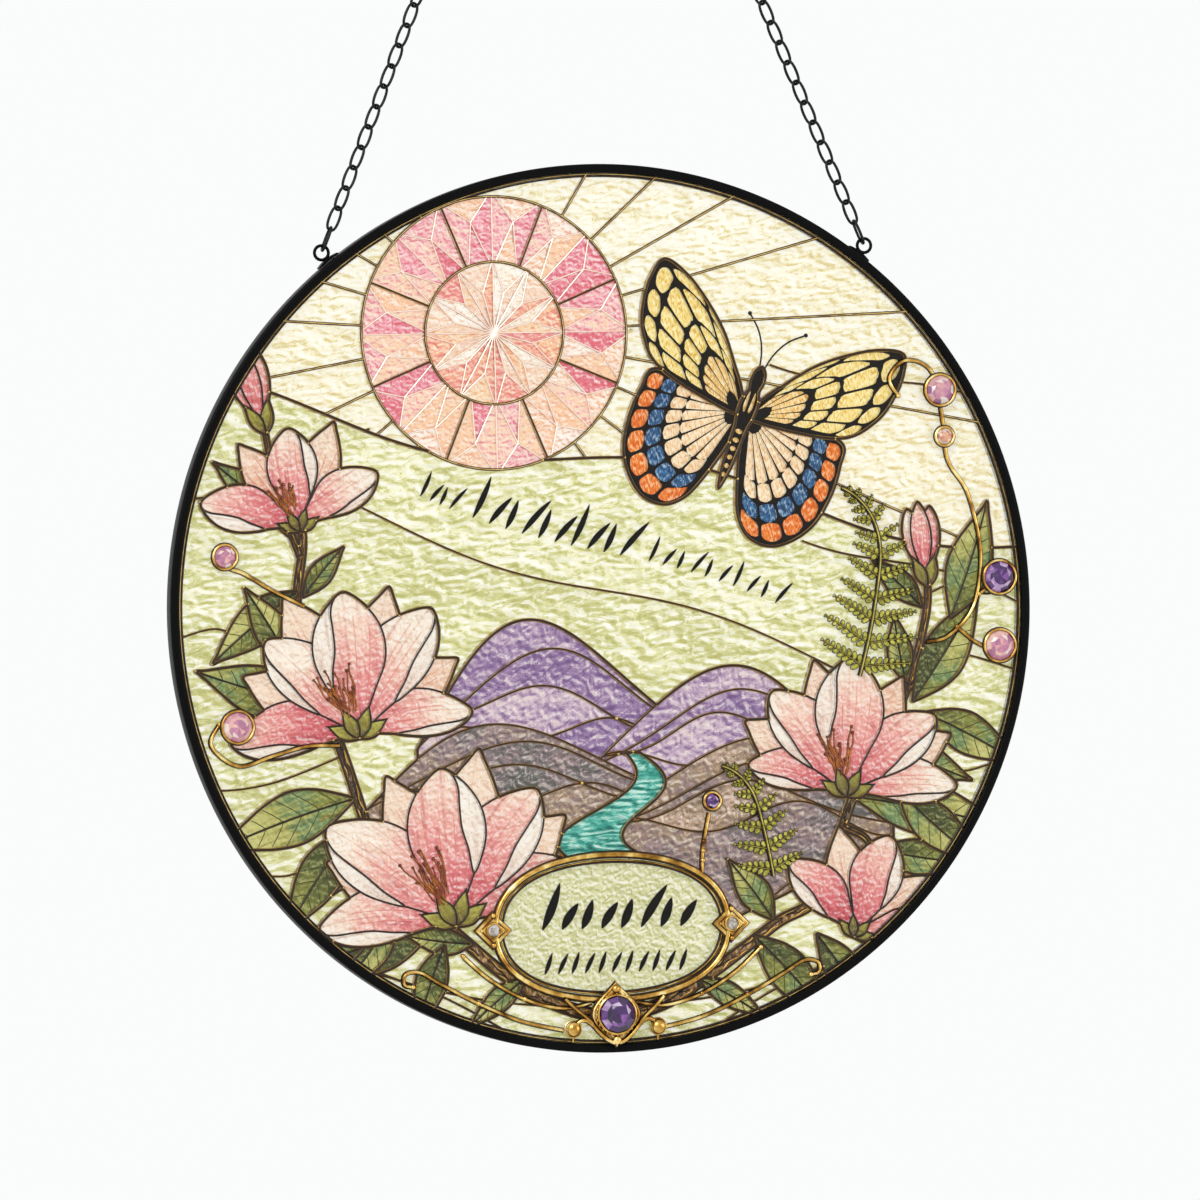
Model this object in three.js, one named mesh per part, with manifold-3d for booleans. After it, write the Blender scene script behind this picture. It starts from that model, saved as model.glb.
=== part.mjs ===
// A round stained-glass suncatcher: pieces of coloured glass in a soldered lead network, a black metal
// channel round the edge, and two chains that meet at a hanging ring. Millimetres, +Z up, the front
// facing -Y. The origin is the point inside the top of the hanging ring where a hook bears.

import * as THREE from "three";
import { mergeVertices } from "three/addons/utils/BufferGeometryUtils.js";
import Module from "manifold-3d";

const wasm = await Module();
wasm.setup();

// Driving dimensions
const gap = 0.3; // air between neighbouring pieces
const tall = 20; // depth of the cutting tools, more than any piece
const rim = { radius: 150, face: 3, depth: 7, groove: 1.7, slot: 3, sides: 40 };
const glassDepth = 3;
const lead = { width: 1.2, depth: 4.4, borderDepth: 2.4 };
const border = { showing: 0.8, tongue: 1.4 };
const overlay = { width: 0.9, depth: 0.4 }; // fine lines laid on the front of the glass
const sun = { x: -36, y: 93.5, radius: 46, centre: 24, tiles: 4 };
const butterfly = { x: 50, y: 62, turn: -22 };
const calyx = 4.6;
const frond = { length: 64, leaflet: 18, width: 8, pairs: 4, bow: 7, stem: 1.2, depth: 0.5 };
const plaque = { y: -107.6, across: 41.6, up: 25.4, tube: 1.8, diamond: 6.2, sides: 20 };
const ornament = { y: -137, across: 8.3, up: 11, depth: 1.8, arm: 14.8, bead: 2.5 };
const stone = { wall: 0.3, crown: 0.6, table: 0.5, sides: 6 };
const lug = { angle: 38, foot: 8.5, footWidth: 3.2, footHeight: 1, loop: 2.4, wire: 0.55, sides: 8 };
const chain = { slope: 22.3, links: 37, width: 4.4, wire: 0.5, bite: 0.12, bends: 5, sides: 3 };
const ring = { radius: 7, wire: 0.8, sides: 12 };

// Glass, metal and stone colours
const cream = "#f3ecc4";
const paleGreen = "#dfe3a8";
const rosePink = "#e69aa4";
const peach = "#f4c29a";
const lilac = "#b39ac0";
const mauve = "#927a9c";
const dusk = "#7d7280";
const teal = "#3db0a2";
const blossomPink = "#ecb7b3";
const leafGreen = "#56683f";
const oliveGreen = "#7d8136";
const amber = "#ecc878";
const bodyBlack = "#1a1714";
const plaqueGlass = "#dcdca8";
const blackMetal = "#1b1b1d";
const leadBrown = "#3a2a18";
const brass = "#be8a34";
const amethyst = "#6a3a90";
const pinkStone = "#dba6c4";
const peachStone = "#eab898";
const clearStone = "#f2eede";

// Solids

function solidOf(geometry) {
  const bare = geometry.clone();
  bare.deleteAttribute("normal");
  bare.deleteAttribute("uv");
  const merged = mergeVertices(bare, 1e-4);
  return new wasm.Manifold(
    new wasm.Mesh({
      numProp: 3,
      vertProperties: merged.getAttribute("position").array,
      triVerts: new Uint32Array(merged.index.array),
    }),
  );
}

function geometryOf(solid) {
  const mesh = solid.getMesh();
  const geometry = new THREE.BufferGeometry();
  geometry.setAttribute("position", new THREE.BufferAttribute(mesh.vertProperties, 3));
  geometry.setIndex(new THREE.BufferAttribute(mesh.triVerts, 1));
  geometry.computeVertexNormals();
  return geometry;
}

// An outline pulled to a slab of the given depth about the middle height.
function slab(outline, depth, middle = 0) {
  const geometry = new THREE.ExtrudeGeometry(new THREE.Shape(outline), { depth, bevelEnabled: false });
  geometry.translate(0, 0, middle - depth / 2);
  return solidOf(geometry);
}

function joined(solids) {
  return solids.reduce((all, next) => all.add(next));
}

// Outlines: lists of points, counter-clockwise

const at = (x, y) => new THREE.Vector2(x, y);
const radians = THREE.MathUtils.degToRad;

function turned(outline) {
  return THREE.ShapeUtils.area(outline) < 0 ? [...outline].reverse() : outline;
}

// The outline moved outwards by a distance, with mitred corners that stay short at sharp tips.
function grow(outline, by) {
  const points = turned(outline);
  const count = points.length;
  return points.map((point, i) => {
    const arriving = point.clone().sub(points[(i + count - 1) % count]).normalize();
    const leaving = points[(i + 1) % count].clone().sub(point).normalize();
    const outward = at(arriving.y + leaving.y, -arriving.x - leaving.x).normalize();
    const share = Math.max(outward.dot(at(arriving.y, -arriving.x)), 0.4);
    return point.clone().addScaledVector(outward, by / share);
  });
}

function ellipse(x, y, across, up, sides) {
  return Array.from({ length: sides }, (_, i) => {
    const angle = (2 * Math.PI * i) / sides;
    return at(x + across * Math.cos(angle), y + up * Math.sin(angle));
  });
}

// Places local points (along, aside) at a point, with "along" turned to the given direction.
function placed(points, x, y, direction) {
  const angle = radians(direction);
  return points.map((point) => point.clone().rotateAround(at(0, 0), angle).add(at(x, y)));
}

// A petal or leaf: narrow where it grows, full in the middle, pointed at the tip.
function pointed(x, y, direction, length, width, belly = 0.4) {
  const half = width / 2;
  const shoulder = 0.5 + 0.5 * belly;
  const left = [at(shoulder * length, 0.68 * half), at(belly * length, half)];
  const right = left.map((point) => at(point.x, -point.y)).reverse();
  return placed([at(length, 0), ...left, at(0, 0), ...right], x, y, direction);
}

// A line of constant width through the points.
function strip(points, width) {
  const sides = [1, -1].map((hand) =>
    points.map((point, i) => {
      const before = points[Math.max(i - 1, 0)];
      const after = points[Math.min(i + 1, points.length - 1)];
      const run = after.clone().sub(before).normalize();
      return point.clone().add(at(-run.y, run.x).multiplyScalar((hand * width) / 2));
    }),
  );
  return turned([...sides[0].reverse(), ...sides[1]]);
}

// The panel: glass is laid back to front, each new figure cutting those behind it.

const panel = new THREE.Group();
const glass = [];
const borderIn = rim.radius - rim.face - gap - border.showing;
const borderOut = rim.radius - rim.face + border.tongue - gap;
const disc = (radius, depth) => slab(ellipse(0, 0, radius, radius, rim.sides), depth);
const glassDisc = disc(borderIn - gap, tall);
const leadDisc = disc(borderIn + gap, tall);
const holeDisc = disc(borderIn, tall);
let leading = disc(borderOut, lead.borderDepth).subtract(holeDisc);

// Lays one figure of glass, made of overlapping outlines, with leading all round it.
function lay(name, colour, outlines) {
  const hole = joined(outlines.map((outline) => slab(grow(outline, gap), tall)));
  const line = joined(outlines.map((outline) => slab(grow(outline, gap + lead.width), lead.depth)));
  const clear = joined(outlines.map((outline) => slab(grow(outline, 2 * gap + lead.width), tall)));
  leading = leading.add(line.intersect(leadDisc)).subtract(hole.intersect(holeDisc));
  for (const piece of glass) {
    piece.solid = piece.solid.subtract(clear);
  }
  const sheet = joined(outlines.map((outline) => slab(turned(outline), glassDepth)));
  glass.push({ name, colour, solid: sheet.intersect(glassDisc) });
}

// Lays a fine line on the front of the glass, from one lead line to another.
function trace(points, width) {
  const front = (lead.depth - overlay.depth) / 2;
  leading = leading.add(slab(strip(points, width), overlay.depth, front).intersect(leadDisc));
}

// Sky, and the field below a wavy line
glass.push({ name: "sky_glass", colour: cream, solid: disc(borderIn - gap, glassDepth) });

const skyline = (x) => 48 - 0.2 * x + 6 * Math.sin(x / 26 + 0.5);
const lowerWave = (x) => 6 - 0.34 * x + 4 * Math.sin(x / 24);
const rays = [-24, 2, 28, 176, 204];

function wave(height, left, right, steps) {
  return Array.from({ length: steps + 1 }, (_, i) => {
    const x = left + ((right - left) * i) / steps;
    return at(x, height(x));
  });
}

function spoke(direction, from, to) {
  return placed([at(from, 0), at(to, 0)], sun.x, sun.y, direction);
}

for (const direction of rays) {
  trace(spoke(direction, sun.radius, 2 * rim.radius), overlay.width);
}
const reach = rim.radius;
const corners = [at(reach, -reach), at(-reach, -reach)];
lay("field_glass", paleGreen, [[...wave(skyline, -reach, reach, 9), ...corners]]);
trace(wave(lowerWave, -100, 90, 5), overlay.width);
lay("roundel_ring_glass", rosePink, [ellipse(sun.x, sun.y, sun.radius, sun.radius, 16)]);
for (let i = 0; i < sun.tiles; i += 1) {
  trace(spoke((360 * (i + 0.5)) / sun.tiles, sun.centre, sun.radius + lead.width), overlay.width);
}
lay("roundel_centre_glass", peach, [ellipse(sun.x, sun.y, sun.centre, sun.centre, 10)]);

// Hills, rounded, each hiding the foot of the one behind, and the stream between them
const hillFoot = -98;

function hill(left, right, foot, height, lean) {
  const crest = Array.from({ length: 6 }, (_, i) => {
    const share = i / 5;
    const rise = Math.sin(Math.PI * share) + lean * Math.sin(2 * Math.PI * share);
    return at(left + (right - left) * share, foot + height * rise);
  });
  return [at(left, hillFoot), at(right, hillFoot), ...crest.reverse()];
}

function stream(top, bottom, middle, steps) {
  const sides = [1, -1].map((hand) =>
    Array.from({ length: steps + 1 }, (_, i) => {
      const share = i / steps;
      const bend = middle + 12 * Math.sin(5.2 * share + 0.6) * (1 - 0.3 * share);
      const half = 1.5 + 8 * share;
      return at(bend + hand * half, top + (bottom - top) * share);
    }),
  );
  return [...sides[0].reverse(), ...sides[1]];
}

lay("hill_far_left", lilac, [hill(-66, 34, -46, 40, 0.2)]);
lay("hill_far_right", lilac, [hill(-6, 84, -54, 33, -0.1)]);
lay("hill_near_left", mauve, [hill(-84, 30, -66, 26, 0.2)]);
lay("hill_near_right", dusk, [hill(-8, 100, -76, 30, -0.15)]);
lay("stream_glass", teal, [stream(-50, -92, 4, 6)]);

// Leaves and blossoms: x, y, direction, length, width of a leaf
const leaves = [
  [-101, -30, 168, 42, 17],
  [-88, -62, 194, 50, 18],
  [-60, -104, 204, 52, 16],
  [-106, 8, 214, 38, 14],
  [86, -66, -8, 56, 18],
  [108, -34, 52, 44, 16],
  [50, -112, -44, 40, 14],
  [60, -104, 98, 42, 14],
];
leaves.forEach(([x, y, direction, length, width], i) => {
  lay("leaf_" + (i + 1), leafGreen, [pointed(x, y, direction, length, width)]);
});

// A blossom opens like a fan from a small round calyx.
function blossom(x, y, direction, size, petals) {
  const spread = 150 / petals;
  const fan = Array.from({ length: petals }, (_, i) => {
    const off = i - (petals - 1) / 2;
    const length = size * (1 - 0.06 * off * off);
    return pointed(x, y, direction + spread * off, length, 0.56 * size, 0.6);
  });
  return [...fan, ellipse(x, y, calyx, calyx, 6)];
}

// x, y, direction, size and number of petals
const blossoms = [
  [-105, 30, 98, 34, 3],
  [-86, -40, 96, 48, 5],
  [-54, -104, 98, 54, 5],
  [84, -64, 84, 44, 5],
  [86, -112, 66, 34, 3],
];
blossoms.forEach(([x, y, direction, size, petals], i) => {
  lay("blossom_" + (i + 1), blossomPink, blossom(x, y, direction, size, petals));
});
lay("bud_1", blossomPink, [pointed(-116, 62, 106, 30, 13)]);
lay("bud_2", blossomPink, [pointed(114, 6, 96, 28, 13)]);

// Butterfly, seen from above with open wings
function wing(hand, points) {
  return placed(points.map(([x, y]) => at(hand * x, y)), butterfly.x, butterfly.y, butterfly.turn);
}

const upperWing = [[1, 2], [36, 8], [47, 26], [45, 42], [26, 34], [10, 18]];
const lowerWing = [[1, 4], [6, -22], [16, -36], [31, -31], [38, -12], [35, 6]];
for (const [side, hand] of [["left", -1], ["right", 1]]) {
  lay("wing_lower_" + side, amber, [wing(hand, lowerWing)]);
  lay("wing_upper_" + side, amber, [wing(hand, upperWing)]);
}
const body = [[0, 20], [-2.8, 10], [-1.6, -18], [0, -24], [1.6, -18], [2.8, 10]];
lay("butterfly_body", bodyBlack, [wing(1, body)]);

// Plaque glass, its leading under the middle of the brass tube
const plaqueInset = plaque.tube + 0.8;
const plaqueOval = (inset) => ellipse(0, plaque.y, plaque.across - inset, plaque.up - inset, plaque.sides);
lay("plaque_glass", plaqueGlass, [plaqueOval(plaqueInset)]);

// Named pieces

// Merges the coplanar faces that the joins leave behind.
const clean = (solid) => solid.asOriginal().simplify(0.001);

function mesh(name, solid, colour, roughness = 0.4, metalness = 0) {
  const material = new THREE.MeshStandardMaterial({ color: colour, roughness, metalness });
  const made = new THREE.Mesh(geometryOf(clean(solid)), material);
  made.name = name;
  return made;
}

const smallest = 14 * glassDepth; // slivers under this volume are left to the leading

for (const piece of glass) {
  const bodies = piece.solid.decompose().filter((body) => body.volume() > smallest);
  bodies.sort((a, b) => b.volume() - a.volume());
  bodies.forEach((body, i) => {
    panel.add(mesh(piece.name + (i ? "_" + (i + 1) : ""), body, piece.colour, 0.2));
  });
}
panel.add(mesh("leading", leading, leadBrown, 0.5, 0.6));

// The rim: a channel that the border of the leading sits in
function ringOf(outer, inner, depth) {
  return disc(outer, depth).subtract(disc(inner, tall));
}

const inner = rim.radius - rim.face;
const channel = ringOf(rim.radius, inner, rim.depth).subtract(disc(inner + rim.groove, rim.slot));
panel.add(mesh("rim", channel, blackMetal, 0.4, 0.5));

// Frond: a thin spray that lies over the lead lines, paired leaflets on a curved stem
function spray(name, x, y, direction) {
  const stations = Array.from({ length: frond.pairs + 2 }, (_, i) => {
    const share = i / (frond.pairs + 1);
    return at(frond.length * share, frond.bow * Math.sin(Math.PI * share));
  });
  const parts = [strip(stations, frond.stem)];
  stations.slice(1, -1).forEach((root, i) => {
    const length = frond.leaflet * (1 - (0.6 * i) / frond.pairs);
    for (const hand of [1, -1]) {
      const half = frond.width / 2;
      const kite = [at(0, 0), at(0.45 * length, -half), at(length, 0), at(0.45 * length, half)];
      parts.push(placed(kite, root.x, root.y, hand * 55));
    }
  });
  const middle = lead.depth / 2 + gap + frond.depth / 2;
  const slabs = parts.map((part) => slab(turned(placed(part, x, y, direction)), frond.depth, middle));
  panel.add(mesh(name, joined(slabs), oliveGreen));
}

spray("frond", 92, -24, 82);

// Stones: faceted, flat behind, tapering to a flat table
const overLead = lead.depth / 2 + gap;

function lathe(profile, sides, x, y) {
  const geometry = new THREE.LatheGeometry(profile, sides);
  geometry.rotateX(Math.PI / 2);
  geometry.translate(x, y, 0);
  return solidOf(geometry);
}

// A stone with its setting, a low cup that grips the girdle.
function setStone(name, x, y, radius, colour, floor = overLead) {
  const profile = [
    at(0, floor),
    at(radius, floor),
    at(radius, floor + stone.wall * radius),
    at(stone.table * radius, floor + stone.crown * radius),
    at(0, floor + stone.crown * radius),
  ];
  panel.add(mesh(name, lathe(profile, stone.sides, x, y), colour, 0.1));
}

const stones = [
  [119.6, 71.7, 5.8, pinkStone],
  [120.9, 55.9, 3.7, peachStone],
  [139.2, 7.6, 6.2, amethyst],
  [138.8, -15.7, 6, pinkStone],
  [36, -66, 3.4, amethyst],
  [-131, 20, 4.6, pinkStone],
  [-128, -37, 5.9, pinkStone],
];
stones.forEach(([x, y, radius, colour], i) => {
  setStone("set_stone_" + (i + 1), x, y, radius, colour);
});

// Plaque: an oval brass tube over the leading round the plaque glass, with a diamond mount at each side
const tubeMiddle = overLead + plaque.tube / 2;
const overTube = overLead + plaque.tube + gap;
const sideStone = 2.2;
let frame = slab(plaqueOval(0), plaque.tube, tubeMiddle).subtract(slab(plaqueOval(plaque.tube), tall));
for (const hand of [-1, 1]) {
  const diamond = ellipse(hand * plaque.across, plaque.y, plaque.diamond, plaque.diamond, 4);
  frame = frame.add(slab(diamond, plaque.tube, tubeMiddle));
  const side = hand < 0 ? "left" : "right";
  setStone("side_stone_" + side, hand * plaque.across, plaque.y, sideStone, clearStone, overTube);
}
panel.add(mesh("plaque_frame", frame, brass, 0.3, 1));

// Ornament: a pointed-oval setting over the foot of the rim, with a beaded arm at each side
const overRim = rim.depth / 2 + gap;
const ornamentMiddle = overTube + ornament.depth / 2;
const leafShape = [
  at(0, ornament.up),
  at(-0.72 * ornament.across, 0.55 * ornament.up),
  at(-ornament.across, 0),
  at(-0.72 * ornament.across, -0.55 * ornament.up),
  at(0, -ornament.up),
  at(0.72 * ornament.across, -0.55 * ornament.up),
  at(ornament.across, 0),
  at(0.72 * ornament.across, 0.55 * ornament.up),
];
const armShape = [at(-ornament.arm, -4.5), at(0, -7), at(ornament.arm, -4.5), at(0, -4)];
const drop = (outline) => outline.map((point) => at(point.x, point.y + ornament.y));
let jewelMount = slab(drop(leafShape), ornament.depth, ornamentMiddle);
jewelMount = jewelMount.add(slab(turned(drop(armShape)), ornament.depth, ornamentMiddle));
for (const hand of [-1, 1]) {
  const bead = ellipse(hand * ornament.arm, ornament.y - 4.5, ornament.bead, ornament.bead, 8);
  const beadDepth = 1.4 * ornament.bead;
  jewelMount = jewelMount.add(slab(bead, beadDepth, overRim + beadDepth / 2));
}
panel.add(mesh("ornament", jewelMount, brass, 0.3, 1));
const ornamentStone = 6.6;
setStone("ornament_stone", 0, ornament.y, ornamentStone, amethyst, overTube + ornament.depth + gap);

// Lugs: a wire loop on a foot that follows the rim's outer edge
function wireLoop(radius, wire, bends, sides, stretch = 0, phase = 0) {
  const geometry = new THREE.TorusGeometry(radius, -wire, sides, bends); // an edge of the wire faces inwards
  geometry.rotateZ(phase);
  const place = geometry.getAttribute("position");
  for (let i = 0; i < place.count; i += 1) {
    place.setY(i, place.getY(i) + (Math.sign(Math.round(place.getY(i) * 100)) * stretch) / 2);
  }
  return solidOf(geometry);
}

const suncatcher = new THREE.Group();
const centreToLug = rim.radius + lug.footHeight + lug.loop + lug.wire; // the loop bites the foot by a gap
const lugX = centreToLug * Math.sin(radians(lug.angle));
const lugZ = centreToLug * Math.cos(radians(lug.angle));
const ringZ = lugX / Math.tan(radians(chain.slope)); // the ring's centre above the lugs
const hookZ = ring.radius - ring.wire; // the bearing point above the ring's centre
const panelZ = -(hookZ + ringZ + lugZ);

function footShape() {
  const half = lug.foot / 2;
  return [at(-half, 0), at(half, 0), at(half - 1, lug.footHeight), at(-half + 1, lug.footHeight)];
}

for (const [side, hand] of [["left", -1], ["right", 1]]) {
  const floor = rim.radius + gap - centreToLug;
  const foot = footShape().map((point) => at(point.x, point.y + floor));
  const solid = slab(turned(foot), lug.footWidth).add(wireLoop(lug.loop, lug.wire, lug.sides, 3));
  const piece = mesh("lug_" + side, solid, blackMetal, 0.4, 0.5);
  piece.position.set(hand * lugX, lugZ, 0);
  piece.rotation.z = -hand * radians(lug.angle);
  panel.add(piece);
}

// Chains: links in turn at 45 degrees either way, each bearing on the next
const chainRun = Math.hypot(lugX, ringZ) - (lug.loop - lug.wire - gap) - (ring.radius - ring.wire - gap);
const pitch = chainRun / chain.links;
const linkRadius = chain.width / 2 - chain.wire;
// One end of a link is a corner and the other a flat between two bends.
const eyeEnds = (linkRadius - chain.wire) * (1 + Math.cos(Math.PI / chain.bends));
const linkStretch = pitch - chain.bite - eyeEnds;

function chainSolid() {
  const link = wireLoop(linkRadius, chain.wire, chain.bends, chain.sides, linkStretch, Math.PI / 2);
  const links = [];
  for (let i = 0; i < chain.links; i += 1) {
    const end = i === 0 || i === chain.links - 1;
    const turn = end ? 90 : 45 * (i % 2 ? 1 : -1);
    links.push(link.rotate(0, turn, 0).translate(0, (i + 0.5) * pitch, 0));
  }
  return joined(links);
}

for (const [side, hand] of [["left", -1], ["right", 1]]) {
  const piece = mesh("chain_" + side, chainSolid(), blackMetal, 0.4, 0.5);
  const start = lug.loop - lug.wire - gap;
  const lean = hand * radians(chain.slope);
  piece.position.set(hand * lugX - start * Math.sin(lean), lugZ + start * Math.cos(lean), 0);
  piece.rotation.z = lean;
  panel.add(piece);
}

// Hanging ring
const hanger = mesh("hanging_ring", wireLoop(ring.radius, ring.wire, ring.sides, 4), blackMetal, 0.4, 0.5);
hanger.position.set(0, lugZ + ringZ, 0);
panel.add(hanger);

panel.rotation.x = Math.PI / 2;
panel.position.z = panelZ;
suncatcher.add(panel);

export default suncatcher;
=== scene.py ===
import math
import random

import bpy
from mathutils import Matrix, Vector, geometry, kdtree, noise


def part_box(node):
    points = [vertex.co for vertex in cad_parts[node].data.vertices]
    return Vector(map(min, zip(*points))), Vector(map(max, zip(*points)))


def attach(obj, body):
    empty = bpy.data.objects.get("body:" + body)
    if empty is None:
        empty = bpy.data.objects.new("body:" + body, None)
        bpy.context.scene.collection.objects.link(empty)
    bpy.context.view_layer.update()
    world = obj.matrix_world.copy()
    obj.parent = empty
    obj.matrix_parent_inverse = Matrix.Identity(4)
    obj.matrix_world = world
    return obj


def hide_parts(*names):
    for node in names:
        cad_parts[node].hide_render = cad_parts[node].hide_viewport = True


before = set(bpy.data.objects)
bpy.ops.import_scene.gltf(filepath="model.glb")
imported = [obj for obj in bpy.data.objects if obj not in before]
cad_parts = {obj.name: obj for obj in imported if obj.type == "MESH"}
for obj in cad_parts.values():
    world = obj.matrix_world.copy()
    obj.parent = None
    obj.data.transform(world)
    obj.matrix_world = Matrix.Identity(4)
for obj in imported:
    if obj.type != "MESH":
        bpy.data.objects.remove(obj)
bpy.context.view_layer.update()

# The hanging place. The panel hangs in a pale room in even daylight, with a wide soft lamp high at
# the left front and a weaker one at the right, over a pale floor well below it.
rim_low, rim_high = (Vector(corner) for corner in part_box("rim"))
disc = (rim_low + rim_high) / 2
view_height = 0.4053
view_turn = math.radians(14.8)
view_roll = math.radians(1.3)
view_lens = 300
view_back = Vector((-math.sin(view_turn), -math.cos(view_turn), 0))
view_aim = disc + Vector((-0.0009, 0, 0.0028))

bpy.ops.object.camera_add()
camera = bpy.context.object
camera.data.lens = view_lens
camera.data.clip_end = 100
camera.location = view_aim + view_back * (view_height / 2 * view_lens / 18)
camera.rotation_euler = (
    (-view_back).to_track_quat("-Z", "Y").to_matrix() @ Matrix.Rotation(-view_roll, 3, "Z")
).to_euler()
bpy.context.scene.camera = camera
bpy.context.scene.view_settings.view_transform = "Standard"

for lamp_name, place, size, watts in (
    ("key_softbox", Vector((-1.1, -1.5, 1.1)), 0.9, 26),
    ("fill_softbox", Vector((1.5, -1.2, 0.1)), 1.0, 9),
):
    bpy.ops.object.light_add(type="AREA", location=disc + place)
    lamp = bpy.context.object
    lamp.name = lamp_name
    lamp.data.size = size
    lamp.data.energy = watts
    lamp.rotation_euler = (-place).to_track_quat("-Z", "Y").to_euler()

room = bpy.data.worlds.new("pale_room")
room.use_nodes = True
room.node_tree.nodes["Background"].inputs["Color"].default_value = (0.96, 0.972, 0.968, 1)
room.node_tree.nodes["Background"].inputs["Strength"].default_value = 1.0
bpy.context.scene.world = room

bpy.ops.mesh.primitive_circle_add(vertices=96, radius=4, fill_type="NGON", location=(0, 0, disc.z - 0.6))
floor = bpy.context.object
floor.name = "pale_floor"
bpy.ops.object.transform_apply(location=True, rotation=True, scale=True)
floor_paint = bpy.data.materials.new("pale_floor_paint")
floor_paint.use_nodes = True
floor_paint.node_tree.nodes["Principled BSDF"].inputs["Base Color"].default_value = (0.8, 0.8, 0.78, 1)
floor_paint.node_tree.nodes["Principled BSDF"].inputs["Roughness"].default_value = 0.7
floor.data.materials.append(floor_paint)

# The bench. The panel is laid out flat on the bench, in millimetres from its middle with its front
# up, and every finished piece is then hung up in its place on the frame.
bench_to_frame = (
    Matrix.Translation(disc) @ Matrix.Rotation(math.radians(90), 4, "X") @ Matrix.Scale(0.001, 4)
)


def only(piece):
    """piece alone is selected and active"""
    bpy.ops.object.select_all(action="DESELECT")
    piece.select_set(True)
    bpy.context.view_layer.objects.active = piece


def settle(piece):
    """piece's place goes into its mesh"""
    only(piece)
    bpy.ops.object.transform_apply(location=True, rotation=True, scale=True)


def hang(piece, slot, *nodes):
    """piece leaves the bench for its place on the frame, and stands for the named solids"""
    settle(piece)
    piece.data.transform(bench_to_frame)
    piece.data.update()
    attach(piece, "root")
    if nodes:
        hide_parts(*nodes)


def material(name, roughness, metallic=0.0, transmission=0.0):
    """a new material's nodes, links and shader"""
    made = bpy.data.materials.new(name)
    made.use_nodes = True
    nodes = made.node_tree.nodes
    shader = nodes["Principled BSDF"]
    shader.inputs["Roughness"].default_value = roughness
    shader.inputs["Metallic"].default_value = metallic
    shader.inputs["Transmission Weight"].default_value = transmission
    return made, nodes, made.node_tree.links, shader


def ramp(nodes, stops, smooth=True):
    """a colour ramp through (place, colour) stops"""
    node = nodes.new("ShaderNodeValToRGB")
    node.color_ramp.interpolation = "LINEAR" if smooth else "CONSTANT"
    elements = node.color_ramp.elements
    while len(elements) < len(stops):
        elements.new(0.5)
    for element, (place, colour) in zip(elements, stops):
        element.position = place
        element.color = (*colour, 1)
    return node


def tint(red, green, blue):
    """a colour seen on a card, 0 to 255 a channel, as light"""
    def light(value):
        value /= 255
        return value / 12.92 if value <= 0.04045 else ((value + 0.055) / 1.055) ** 2.4
    return light(red), light(green), light(blue)


def grain(nodes, links, size, detail=3.0, stretch=(1, 1, 1), distortion=0.0):
    """noise in millimetres of the hanging piece"""
    place = nodes.new("ShaderNodeTexCoord")
    turn = nodes.new("ShaderNodeMapping")
    turn.inputs["Scale"].default_value = [1000 * value / size for value in stretch]
    links.new(place.outputs["Object"], turn.inputs["Vector"])
    node = nodes.new("ShaderNodeTexNoise")
    node.inputs["Scale"].default_value = 1
    node.inputs["Detail"].default_value = detail
    node.inputs["Distortion"].default_value = distortion
    links.new(turn.outputs["Vector"], node.inputs["Vector"])
    return node


def bump(nodes, links, height, shader, strength, depth=0.0003):
    """a relief on the shader's surface"""
    node = nodes.new("ShaderNodeBump")
    node.inputs["Strength"].default_value = strength
    node.inputs["Distance"].default_value = depth
    links.new(height, node.inputs["Height"])
    links.new(node.outputs["Normal"], shader.inputs["Normal"])


# The rim: a steel channel bent into a ring round the glass, its edges rolled soft, in satin black
# lacquer that is a little rubbed in fine specks.
rim_radius = 150
rim_face = 3
rim_depth = 7
rim_groove = 1.7
rim_slot = 3
rim_edge = 0.7

black_lacquer, nodes, links, shader = material("black_lacquer", 0.38)
shader.inputs["Specular IOR Level"].default_value = 0.05
speckle = grain(nodes, links, 0.5, 4)
worn = ramp(nodes, [(0.3, tint(4, 4, 4)), (0.62, tint(9, 9, 9)), (0.8, tint(34, 32, 30))])
links.new(speckle.outputs["Fac"], worn.inputs["Fac"])
links.new(worn.outputs["Color"], shader.inputs["Base Color"])
dullness = nodes.new("ShaderNodeMapRange")
dullness.inputs["To Min"].default_value = 0.26
dullness.inputs["To Max"].default_value = 0.5
links.new(speckle.outputs["Fac"], dullness.inputs["Value"])
links.new(dullness.outputs["Result"], shader.inputs["Roughness"])
bump(nodes, links, speckle.outputs["Fac"], shader, 0.15)

bpy.ops.mesh.primitive_cylinder_add(
    vertices=288, radius=rim_radius, depth=rim_depth, end_fill_type="NOTHING"
)
rim = bpy.context.object
rim.name = "rim_channel"
wall = rim.modifiers.new("wall", "SOLIDIFY")
wall.thickness = rim_face
wall.offset = -1
bpy.ops.object.modifier_apply(modifier="wall")
bpy.ops.object.mode_set(mode="EDIT")
bpy.ops.mesh.select_all(action="DESELECT")
bpy.ops.object.mode_set(mode="OBJECT")
for face in rim.data.polygons:
    middle = Vector(face.center)
    face.select = middle.to_2d().length < rim_radius - rim_face + 0.1 and abs(middle.z) < 1
bpy.ops.object.mode_set(mode="EDIT")
bpy.ops.mesh.select_mode(type="FACE")
bpy.ops.mesh.inset(thickness=(rim_depth - rim_slot) / 2, use_boundary=True)
bpy.ops.mesh.extrude_region_shrink_fatten(TRANSFORM_OT_shrink_fatten={"value": -rim_groove})
bpy.ops.object.mode_set(mode="OBJECT")
soft = rim.modifiers.new("soft", "BEVEL")
soft.width = rim_edge
soft.segments = 3
soft.limit_method = "ANGLE"
soft.angle_limit = math.radians(50)
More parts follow.
